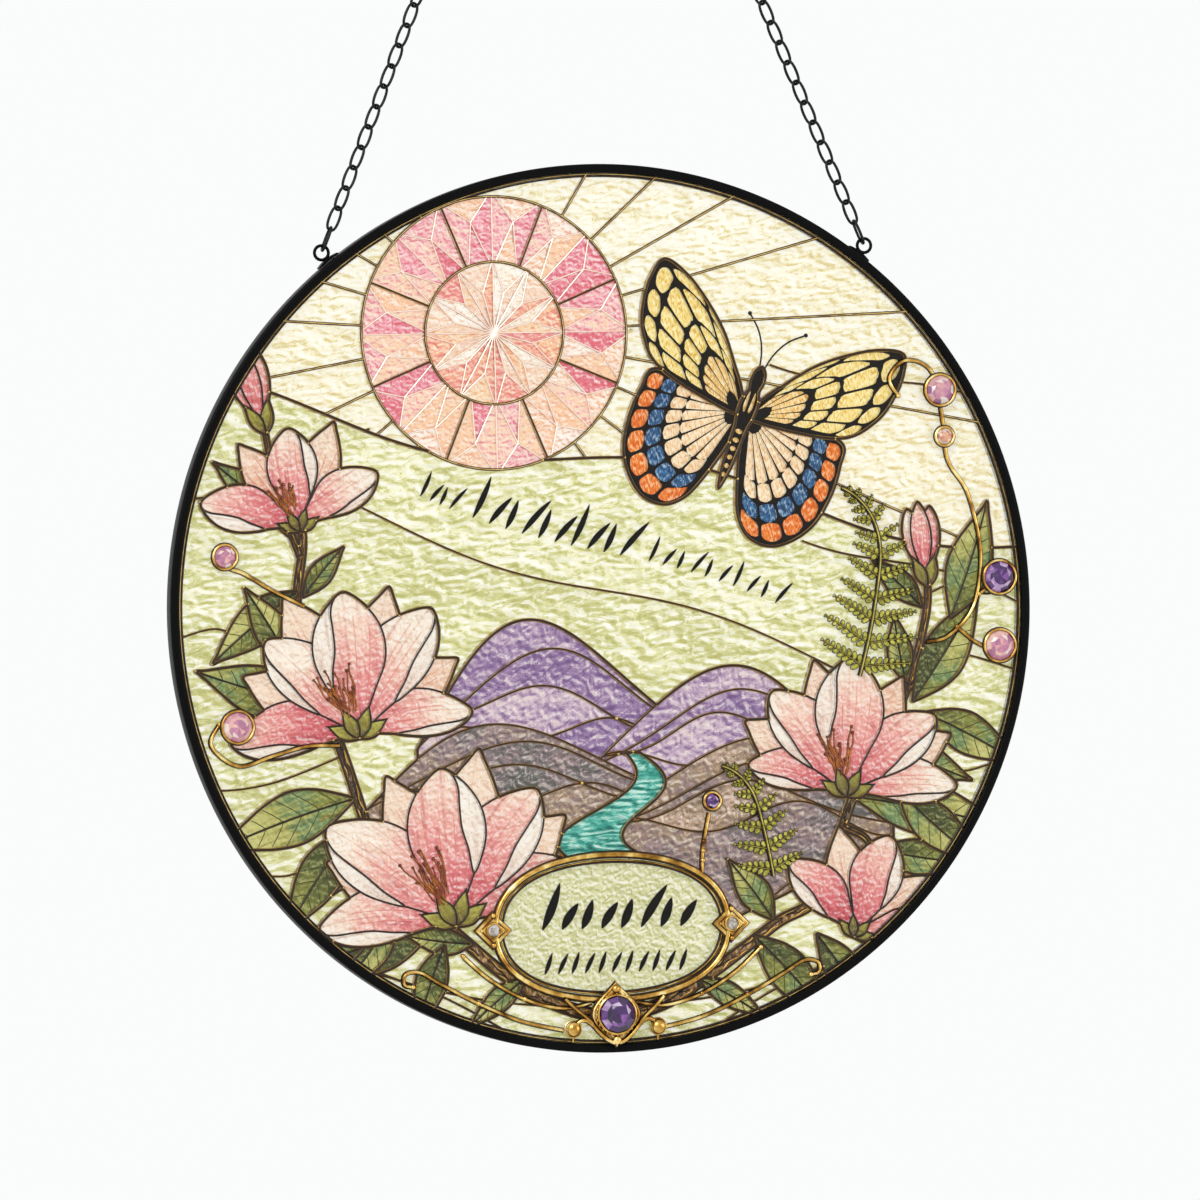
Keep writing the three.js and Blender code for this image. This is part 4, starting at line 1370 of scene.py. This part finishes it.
# Stones: each cut with ten sides and a flat table, each facet given its own painted reflection, and held in a brass
# wire collar
def stone_glass(name, dark, middle, bright, glint):
    """glass stone with a painted reflection on each facet, its colour picked from these by the facet's own brightness
    """
    made, nodes, links, shader = material(name, 0.06, transmission=0.5)
    shader.inputs["IOR"].default_value = 1.6
    facet_glint = nodes.new("ShaderNodeAttribute")
    facet_glint.attribute_name = "facet_glint"
    colours = ramp(nodes, [(0.0, dark), (0.35, middle), (0.66, bright), (0.9, glint)])
    cloud = grain(nodes, links, 1.8, 3)
    value = reckon(nodes, links, "MULTIPLY_ADD", cloud.outputs["Fac"], 0.5, reckon(nodes, links, "SUBTRACT", facet_glint.outputs["Fac"], 0.25))
    links.new(value, colours.inputs["Fac"])
    links.new(colours.outputs["Color"], shader.inputs["Base Color"])
    return made


amethyst = stone_glass("amethyst_glass", tint(30, 10, 50), tint(78, 30, 112), tint(150, 92, 178), tint(240, 216, 246))
pink_stone = stone_glass("pink_glass_stone", tint(160, 100, 146), tint(214, 146, 176), tint(246, 200, 186), tint(255, 248, 242))
peach_stone = stone_glass("peach_glass_stone", tint(196, 120, 110), tint(232, 160, 130), tint(246, 208, 180), tint(255, 244, 232))
clear_stone = stone_glass("clear_glass_stone", tint(150, 140, 128), tint(206, 200, 190), tint(236, 232, 226), tint(255, 254, 250))


def cut_stone(name, x, y, radius, base, finish, slot, *nodes_here):
    """a faceted stone on its back, rising to its table"""
    bpy.ops.mesh.primitive_cylinder_add(
        vertices=10, radius=0.97 * radius, depth=0.22 * radius, location=(x, y, base + 0.11 * radius)
    )
    stone = bpy.context.object
    stone.name = name
    settle(stone)
    bpy.ops.object.mode_set(mode="EDIT")
    bpy.ops.mesh.select_mode(type="FACE")
    bpy.ops.mesh.select_all(action="DESELECT")
    bpy.ops.object.mode_set(mode="OBJECT")
    for face in stone.data.polygons:
        face.select = face.normal.z > 0.9
    bpy.ops.object.mode_set(mode="EDIT")
    top = base + 0.22 * radius
    for rise, share, turn in ((0.26, 0.7, 0), (0.12, 0.72, 18)):
        bpy.ops.mesh.extrude_region_move(TRANSFORM_OT_translate={"value": (0, 0, rise * radius)})
        top += rise * radius
        centre = (x, y, top)
        bpy.ops.transform.resize(value=(share, share, 1), center_override=centre)
        bpy.ops.transform.rotate(value=math.radians(turn), orient_axis="Z", center_override=centre)
    bpy.ops.mesh.poke()
    bpy.ops.mesh.select_all(action="SELECT")
    bpy.ops.object.mode_set(mode="OBJECT")
    # Painted reflections: each facet gets its own brightness, the table's triangles middling and the rest mostly dark
    # with a few bright
    facet_glints = [(0.1 + 0.5 * random.random()) if len(face.vertices) == 3 else random.random() ** 1.2 for face in stone.data.polygons]
    stone.data.attributes.new("facet_glint", "FLOAT", "FACE").data.foreach_set("value", facet_glints)
    stone.data.materials.append(finish)
    hang(stone, slot, *nodes_here)


def collar(x, y, radius, base, wire):
    """a brass wire ring round a stone"""
    bpy.ops.mesh.primitive_torus_add(
        major_segments=48, minor_segments=8, major_radius=radius - wire, minor_radius=wire, location=(x, y, base + 0.2 * radius)
    )
    made = bpy.context.object
    made.scale.z = 1.35
    bpy.ops.object.shade_smooth()
    return made


def gathered(pieces, name, finish, slot, *nodes_here):
    """pieces on the bench made one, in one metal"""
    for piece in pieces:
        settle(piece)
        piece.data.materials.clear()
    bpy.ops.object.select_all(action="DESELECT")
    for piece in pieces:
        piece.select_set(True)
    bpy.context.view_layer.objects.active = pieces[0]
    bpy.ops.object.join()
    pieces[0].name = name
    pieces[0].data.materials.append(finish)
    hang(pieces[0], slot, *nodes_here)


set_stones = [
    (119.6, 71.7, 5.8, pink_stone, "jewel_pink"),
    (120.9, 55.9, 3.7, peach_stone, "jewel_peach"),
    (139.2, 7.6, 6.2, amethyst, "jewel_purple"),
    (138.8, -15.7, 6, pink_stone, "jewel_pink"),
    (36, -66, 3.4, amethyst, "jewel_purple"),
    (-131, 20, 4.6, pink_stone, "jewel_pink"),
    (-128, -37, 5.9, pink_stone, "jewel_pink"),
]
collars, collar_edges = [], []
for number, (x, y, radius, finish, slot) in enumerate(set_stones, 1):
    cut_stone("set_stone_%d_cut" % number, x, y, radius - 0.55, 2.5, finish, slot, "set_stone_%d" % number)
    collars.append(collar(x, y, radius, 2.5, 0.52))
    collar_edges.append(collar(x, y, radius + 0.3, 2.0, 0.5))
gathered(collars, "stone_collars", brass_metal, "brass")
gathered(collar_edges, "stone_collar_edges", fine_line, "lead_line")

# Plaque frame: an oval of brass tube on the leading, a fine inner wire, and a brass lozenge at
# each end with a clear stone and two small beads
def tube_oval(across, up, wire, height):
    """a round wire bent to an oval"""
    bpy.ops.curve.primitive_bezier_circle_add(radius=1, location=(0, plaque_y, height))
    made = bpy.context.object
    for point in made.data.splines[0].bezier_points:
        for handle in ("co", "handle_left", "handle_right"):
            spot = getattr(point, handle)
            setattr(point, handle, (spot.x * across, spot.y * up, 0))
    made.data.resolution_u = 40
    made.data.bevel_depth = wire
    made.data.bevel_resolution = 4
    bpy.ops.object.convert(target="MESH")
    bpy.ops.object.shade_smooth()
    return made


def bead(x, y, z, radius, flat=1.0):
    """a small cast bead"""
    bpy.ops.mesh.primitive_uv_sphere_add(segments=20, ring_count=10, radius=radius, location=(x, y, z))
    made = bpy.context.object
    made.scale.z = flat
    bpy.ops.object.shade_smooth()
    return made


def plate(name, outline, low, high, edge):
    """a flat plate cut to an outline, its edges rounded"""
    made = bench_curve(name, [outline], [True])
    made.data.fill_mode = "BOTH"
    made.data.extrude = (high - low) / 2 - edge
    made.data.bevel_depth = edge
    made.data.bevel_resolution = 1
    made.data.offset = -edge
    only(made)
    bpy.ops.object.convert(target="MESH")
    made.location.z = (high + low) / 2
    bpy.ops.object.shade_smooth_by_angle(angle=math.radians(35))
    return made


side_stone = 2.2
lozenge = 6.2
tube_low = 2.5
tube_high = tube_low + plaque_tube
frame_parts = [
    tube_oval(plaque_across - plaque_tube / 2, plaque_up - plaque_tube / 2, plaque_tube / 2, tube_low + plaque_tube / 2),
    tube_oval(plaque_across - 2.9, plaque_up - 2.9, 0.34, 2.4),
]
for hand in (-1, 1):
    x = hand * plaque_across
    kite = [Vector((x + lozenge * a, plaque_y + lozenge * b)) for a, b in ((1, 0), (0, 1), (-1, 0), (0, -1))]
    inner = [Vector((x + 4.1 * a, plaque_y + 4.1 * b)) for a, b in ((1, 0), (0, 1), (-1, 0), (0, -1))]
    frame_parts.append(plate("lozenge", kite, tube_low, tube_high - 0.5, 0.35))
    frame_parts.append(plate("lozenge_step", inner, tube_high - 0.5, tube_high, 0.3))
    frame_parts.append(collar(x, plaque_y, side_stone + 0.55, tube_high - 0.2, 0.4))
    for across, up in ((0, 5), (0, -5), (3.9, 0), (-3.9, 0)):
        frame_parts.append(bead(x + across, plaque_y + up, tube_high - 0.4, 0.95 if up else 0.6))
    side = "left" if hand < 0 else "right"
    cut_stone("side_stone_%s_cut" % side, x, plaque_y, side_stone, tube_high + 0.05, clear_stone, "jewel_clear", "side_stone_" + side)
gathered(frame_parts, "plaque_frame_brass", brass_metal, "brass", "plaque_frame")
edge_parts = [tube_oval(plaque_across + grow, plaque_up + grow, 0.4, tube_low + 0.1) for grow in (0.1, -plaque_tube - 0.1, -3.5)]
for hand in (-1, 1):
    x = hand * plaque_across
    kite = [Vector((x + (lozenge + 0.6) * a, plaque_y + (lozenge + 0.6) * b)) for a, b in ((1, 0), (0, 1), (-1, 0), (0, -1))]
    edge_parts.append(plate("lozenge_edge", kite, 2.2, tube_low + 0.3, 0.1))
    groove = [Vector((x + 4.7 * a, plaque_y + 4.7 * b)) for a, b in ((1, 0), (0, 1), (-1, 0), (0, -1))]
    edge_parts.append(plate("lozenge_groove", groove, tube_high - 0.75, tube_high - 0.4, 0.1))
gathered(edge_parts, "plaque_frame_edges", fine_line, "lead_line")

# Ornament: a pointed oval brass setting over the foot of the frame, with a large purple stone, two
# scrolled arms that end in beads, and a small bead at its head and foot
ornament_y, ornament_across, ornament_up, ornament_depth = -137, 8.3, 11, 1.8
ornament_low = tube_high + 0.3
ornament_high = ornament_low + ornament_depth
arm_x, bead_radius = 14.8, 2.5


def pointed_oval(across, up):
    """an upright oval with a point at its head and foot"""
    quarter = [(across * math.cos(a) ** 1.2, up * (a / (math.pi / 2)) ** 1.05) for a in [math.pi / 2 * k / 14 for k in range(15)]]
    right = [(x, -y) for x, y in quarter[:0:-1]] + quarter
    left = [(-x, y) for x, y in right[-2:0:-1]]
    return [Vector((x, ornament_y + y)) for x, y in right + left]


ornament_parts = [
    plate("setting", pointed_oval(ornament_across, ornament_up), ornament_low, ornament_high - 0.5, 0.35),
    plate("setting_step", pointed_oval(ornament_across - 1.0, ornament_up - 1.3), ornament_high - 0.5, ornament_high, 0.25),
    collar(0, ornament_y, 7.0, ornament_high - 0.8, 0.55),
    bead(0, ornament_y + ornament_up - 2.4, ornament_high, 1.5, 0.8),
    bead(0, ornament_y - ornament_up + 2.4, ornament_high, 1.5, 0.8),
]
for k in range(24):
    grain_turn = math.radians(15 * k)
    ornament_parts.append(bead(7.0 * math.cos(grain_turn), ornament_y + 7.0 * math.sin(grain_turn), ornament_high + 0.35, 0.42))
ornament_edges = [plate("ornament_edge", pointed_oval(ornament_across + 0.5, ornament_up + 0.5), ornament_low - 0.5, ornament_low + 0.3, 0.1)]
for hand in (-1, 1):
    ornament_parts.append(bead(hand * arm_x, ornament_y - 4.5, 3.8 + 1.75, bead_radius, 0.7))
    bpy.ops.mesh.primitive_torus_add(
        major_segments=36, minor_segments=8, major_radius=2.75, minor_radius=0.36, location=(hand * arm_x, ornament_y - 4.5, 4.4)
    )
    ornament_parts.append(bpy.context.object)
    bpy.ops.object.shade_smooth()
    arm_points = ((13.6, -2.9, 5.2), (12.4, -1.9, 5.4), (10.6, -1.8, 5.6), (8.3, -3.4, 5.8), (5.6, -6.4, 6.2), (3, -8.6, 6.4), (0.8, -9.6, 6.4))
    strap_points = ((17.2, 5.6, 4.3), (14, 2.4, 4.9), (11, -0.2, 5.4), (8.2, -3, 5.8))
    foot_points = ((14.8, -7.2, 4.2), (14.8, -8.1, 4), (14.8, -8.9, 3.6))
    for along, half, found, sunk in (
        (arm_points, 0.62, ornament_parts, 0), (strap_points, 0.5, ornament_parts, 0), (foot_points, 0.45, ornament_parts, 0),
        (arm_points, 0.85, ornament_edges, 0.55), (strap_points, 0.75, ornament_edges, 0.5),
    ):
        smooth = flowing([Vector((hand * x, ornament_y + y, z - sunk)) for x, y, z in along], step=0.8)
        arm = bench_curve("arm", [[tuple(point) for point in smooth]], [False])
        arm.data.bevel_depth = half
        arm.data.bevel_resolution = 3
        arm.data.use_fill_caps = True
        only(arm)
        bpy.ops.object.convert(target="MESH")
        bpy.ops.object.shade_smooth()
        found.append(arm)
gathered(ornament_parts, "ornament_setting", brass_metal, "brass", "ornament")
gathered(ornament_edges, "ornament_edge_lines", fine_line, "lead_line")
cut_stone("ornament_stone_cut", 0, ornament_y, 6.3, 6.75, amethyst, "jewel_purple", "ornament_stone")

# Fronds: rows of small domed leaflets in green enamel on dark backings, paired along side stems
# that leave the curled main stem
frond_low, frond_high = 2.5, 3.0
frond_enamel, nodes, links, shader = material("frond_enamel", 0.38)
shader.inputs["Specular IOR Level"].default_value = 0.3
mottle = grain(nodes, links, 1.6, 5, (1, 1, 1), 0.8)
greens = ramp(nodes, [(0.3, tint(96, 90, 22)), (0.45, tint(132, 128, 36)), (0.58, tint(164, 158, 56)), (0.74, tint(204, 196, 104))])
links.new(mottle.outputs["Fac"], greens.inputs["Fac"])
links.new(greens.outputs["Color"], shader.inputs["Base Color"])
bump(nodes, links, mottle.outputs["Fac"], shader, 0.4)
stem_enamel = gilt_line("frond_stem_enamel", tint(58, 48, 16), (tint(126, 112, 40), tint(178, 162, 78)), 0.86)


def frond(name, x, y, direction, length, side_length, pairs, bow, curl, *nodes_here):
    """a stem that curls over at its tip, with side stems of small leaflets, longest near its foot"""
    stem, headings = [Vector((x, y))], []
    for step in range(61):
        headings.append(direction + bow * (step / 30 - 1) + curl * max(0, step / 60 - 0.52) ** 1.4)
        stem.append(stem[-1] + turned((length / 60, 0), headings[-1]))
    fronts, backs, side_stems = [], [], []
    for k in range(pairs):
        left_over = 1 - k / (pairs - 1)
        share = 0.05 + 0.92 * (1 - left_over**1.3)
        root, heading = stem[round(60 * share)], headings[round(60 * share)]
        size = side_length * (1.02 - share) ** 0.8 * (0.86 if k == 0 else 1)
        gap = length * 1.2 * (left_over**0.3 if k < pairs - 1 else 0.3) / (pairs - 1)
        for hand in (1, -1):
            lean = heading + hand * (70 - 14 * share)
            count = max(3, round(size / 2.35))
            side_stems.append([root + turned((size * t / 8, hand * 0.05 * size * (t / 8) ** 2), lean) for t in range(9)])
            for m in range(count + 1):
                along = (m + 0.5) / (count + 0.5)
                spot = root + turned((size * along, hand * 0.05 * size * along**2), lean)
                half = (min(0.34 * gap, 2.9) * (1 - along) ** 0.6 + 0.45) * (1 - 0.25 * share)
                for turn in (1, -1) if m < count else (0,):
                    angle = lean + turn * (60 - 20 * along)
                    placing = Matrix.Translation((*spot, 0)) @ Matrix.Rotation(math.radians(angle), 4, "Z")
                    for found, grow, low, high in ((fronts, 0.0, frond_low + 0.12, frond_high), (backs, 0.27, frond_low - 0.1, frond_low + 0.16)):
                        shape = Matrix.Diagonal((half / 2 + grow, min(0.85, 0.36 * size / count) * (1 - 0.35 * along) + grow, high - low, 1))
                        found.append(placing @ Matrix.Translation((half / 2 + 0.25, 0, low)) @ shape)
    for piece_name, found, finish, slot, own in (
        (name + "_leaflets", fronts, frond_enamel, "frond_enamel", nodes_here), (name + "_backing", backs, fine_line, "lead_line", ()),
    ):
        bpy.ops.mesh.primitive_uv_sphere_add(segments=8, ring_count=4, radius=1)
        leaflet = bpy.context.object
        bpy.ops.object.mode_set(mode="EDIT")
        bpy.ops.mesh.select_all(action="SELECT")
        bpy.ops.mesh.bisect(plane_co=(0, 0, 0), plane_no=(0, 0, 1), clear_inner=True, use_fill=True)
        bpy.ops.object.mode_set(mode="OBJECT")
        bpy.ops.object.shade_smooth_by_angle(angle=math.radians(60))
        leaves_made = copies(leaflet, found, piece_name)
        leaves_made.data.materials.append(finish)
        hang(leaves_made, slot, *own)
    for piece_name, lines, half, height, finish, slot in (
        ("_side_stems", side_stems, 0.2, frond_high - 0.15, stem_enamel, "frond_enamel"),
        ("_side_backing", side_stems, 0.42, frond_low, fine_line, "lead_line"),
        ("_stem", [stem], 0.52, frond_high - 0.1, stem_enamel, "frond_enamel"),
        ("_stem_backing", [stem], 0.9, frond_low, fine_line, "lead_line"),
    ):
        draw_lines(name + piece_name, [[(*p, height) for p in line] for line in lines], half, finish, slot)


frond("frond_tall", 89, -25, 82, 69, 19.5, 11, 9, 180, "frond")
frond("frond_low", 57, -92, 104, 43, 13.5, 8, 5, 150)

# Strokes: where words would stand, rows of plain slanting brush strokes in black enamel
stroke_sides = [(0, 0.12), (0.15, 0.62), (0.4, 1), (0.7, 0.82), (0.92, 0.34), (1, 0.05)]


def stroke(x, y, lean, length, width, bow=0.0):
    """one tapering brush stroke that stands on its foot"""
    outline = blade(x, y, lean, length, width, stroke_sides, bow)
    return plate("stroke", outline, glass_half - 0.12, glass_half + 0.42, 0.06)


strokes = []
for first, last, count, length, width in ((-63, -53, 4, 8, 1.3), (-45, 6, 10, 13, 2.0), (16, 60, 10, 8, 1.3)):
    for k in range(count):
        x = first + (last - first) * k / (count - 1)
        y = 19 - 0.34 * x + 3 * math.sin(x / 24)
        tall = length * (1.18 if k % 3 == 0 else 0.82 + 0.1 * (k % 2))
        strokes.append(stroke(x, y, 52 if k % 2 else 58, tall, width, 0.1 * (-1) ** k))
for k in range(8):
    strokes.append(stroke(-24 + 6.9 * k, -108, 62, 17 if k in (0, 5) else 10.5, 3.0, 0.1 * (-1) ** k))
for k in range(11):
    strokes.append(stroke(-23.5 + 4.7 * k, -123, 66, 7.8, 1.5, 0.06 * (-1) ** k))
black_enamel, nodes, links, shader = material("black_enamel", 0.35)
shader.inputs["Specular IOR Level"].default_value = 0.15
speckle = grain(nodes, links, 1.1, 4)
ink = ramp(nodes, [(0.35, tint(5, 5, 4)), (0.7, tint(20, 17, 14))])
links.new(speckle.outputs["Fac"], ink.inputs["Fac"])
links.new(ink.outputs["Color"], shader.inputs["Base Color"])
bump(nodes, links, speckle.outputs["Fac"], shader, 0.25)
gathered(strokes, "enamel_strokes", black_enamel, "glass_black")

# Lugs: a loop of black wire brazed to a small foot that is soldered on the rim's outer edge
lug_angle, lug_foot, lug_foot_width, lug_foot_height, lug_loop, lug_wire = 38, 8.5, 3.2, 1, 2.4, 0.55
lug_out = rim_radius + lug_foot_height + lug_loop + lug_wire
for side, hand in (("left", -1), ("right", 1)):
    bpy.ops.mesh.primitive_torus_add(
        major_segments=40, minor_segments=12, major_radius=lug_loop, minor_radius=lug_wire, location=(0, lug_out, 0)
    )
    loop = bpy.context.object
    bpy.ops.object.shade_smooth()
    bpy.ops.mesh.primitive_cube_add(size=1, location=(0, rim_radius + 0.3 + lug_foot_height / 2, 0))
    foot = bpy.context.object
    foot.scale = (lug_foot, lug_foot_height, lug_foot_width)
    settle(foot)
    bpy.ops.object.mode_set(mode="EDIT")
    bpy.ops.mesh.select_all(action="SELECT")
    bpy.ops.mesh.subdivide(number_cuts=8)
    bpy.ops.object.mode_set(mode="OBJECT")
    for point in foot.data.vertices:
        drop = rim_radius - math.sqrt(rim_radius**2 - point.co.x**2)
        taper = 1 - 0.55 * (2 * abs(point.co.x) / lug_foot) ** 2
        height = point.co.y - rim_radius - 0.3
        point.co.y = rim_radius + 0.3 + height * taper - drop
    soft = foot.modifiers.new("soft", "BEVEL")
    soft.width = 0.25
    soft.segments = 2
    soft.limit_method = "ANGLE"
    bpy.ops.object.modifier_apply(modifier="soft")
    bpy.ops.object.shade_smooth_by_angle(angle=math.radians(40))
    for part in (loop, foot):
        part.matrix_world = Matrix.Rotation(math.radians(-hand * lug_angle), 4, "Z") @ part.matrix_world
    gathered([loop, foot], "lug_%s_wire" % side, black_lacquer, "black_metal", "lug_" + side)

# Chains: cable chain of black wire links, each turned a quarter from the last, from lug to ring
chain_links, chain_width, chain_wire, slack = 33, 5, 0.5, 0.03
edge_on, one_way, other_way = 90, 19.2, -48.8
ring_radius, ring_wire = 7, 0.8
ring_spot = Vector((0, (0 - disc.z) * 1000 - (ring_radius - ring_wire)))
link_metal, nodes, links, shader = material("black_chain_wire", 0.34)
shader.inputs["Specular IOR Level"].default_value = 0.18
speckle = grain(nodes, links, 0.8, 3)
links.new(speckle.outputs["Fac"], ramp(nodes, [(0.35, tint(5, 5, 6)), (0.7, tint(16, 16, 17))]).inputs["Fac"])
links.new(nodes["Color Ramp"].outputs["Color"], shader.inputs["Base Color"])
bump(nodes, links, speckle.outputs["Fac"], shader, 0.15)
for side, hand in (("left", -1), ("right", 1)):
    lug_spot = turned((0, lug_out), -hand * lug_angle)
    run = ring_spot - lug_spot
    slope = math.degrees(math.atan2(run.y, run.x)) - 90
    start = lug_loop - lug_wire - chain_wire - slack
    pitch_of_link = (run.length - start - (ring_radius - ring_wire - chain_wire - slack)) / chain_links
    link_radius = chain_width / 2 - chain_wire
    stretch = pitch_of_link + 4 * chain_wire + 2 * slack - chain_width
    bpy.ops.mesh.primitive_torus_add(
        major_segments=24, minor_segments=8, major_radius=link_radius, minor_radius=chain_wire
    )
    link = bpy.context.object
    for point in link.data.vertices:
        rise = math.sin(math.atan2(point.co.y, point.co.x))
        point.co.y += stretch / 2 * math.sin(rise * math.pi / 2)
    bpy.ops.object.shade_smooth()
    made = []
    for k in range(chain_links):
        twin = link.copy()
        twin.data = link.data.copy()
        angle = edge_on if k in (0, chain_links - 1) else (one_way if k % 2 else other_way)
        twin.matrix_world = (
            Matrix.Translation((*lug_spot, 0)) @ Matrix.Rotation(math.radians(slope), 4, "Z")
            @ Matrix.Translation((0, start + (k + 0.5) * pitch_of_link, 0)) @ Matrix.Rotation(math.radians(angle), 4, "Y")
        )
        bpy.context.collection.objects.link(twin)
        made.append(twin)
    bpy.data.objects.remove(link)
    gathered(made, "chain_%s_links" % side, link_metal, "black_metal", "chain_" + side)

# Hanging ring: a round of black wire, closed with a butt joint, that gathers both chains
bpy.ops.mesh.primitive_torus_add(
    major_segments=72, minor_segments=16, major_radius=ring_radius, minor_radius=ring_wire, location=(*ring_spot, 0)
)
hanging_ring = bpy.context.object
hanging_ring.name = "hanging_ring_wire"
settle(hanging_ring)
for point in hanging_ring.data.vertices:
    away = point.co - Vector((*ring_spot, 0))
    turn = math.degrees(math.atan2(away.y, away.x))
    if abs(turn - 20) < 1.5:
        round_middle = Vector((away.x, away.y, 0)).normalized() * ring_radius
        point.co = Vector((*ring_spot, 0)) + round_middle + (away - round_middle) * 0.86
bpy.ops.object.shade_smooth()
hanging_ring.data.materials.append(black_lacquer)
hang(hanging_ring, "black_metal", "hanging_ring")
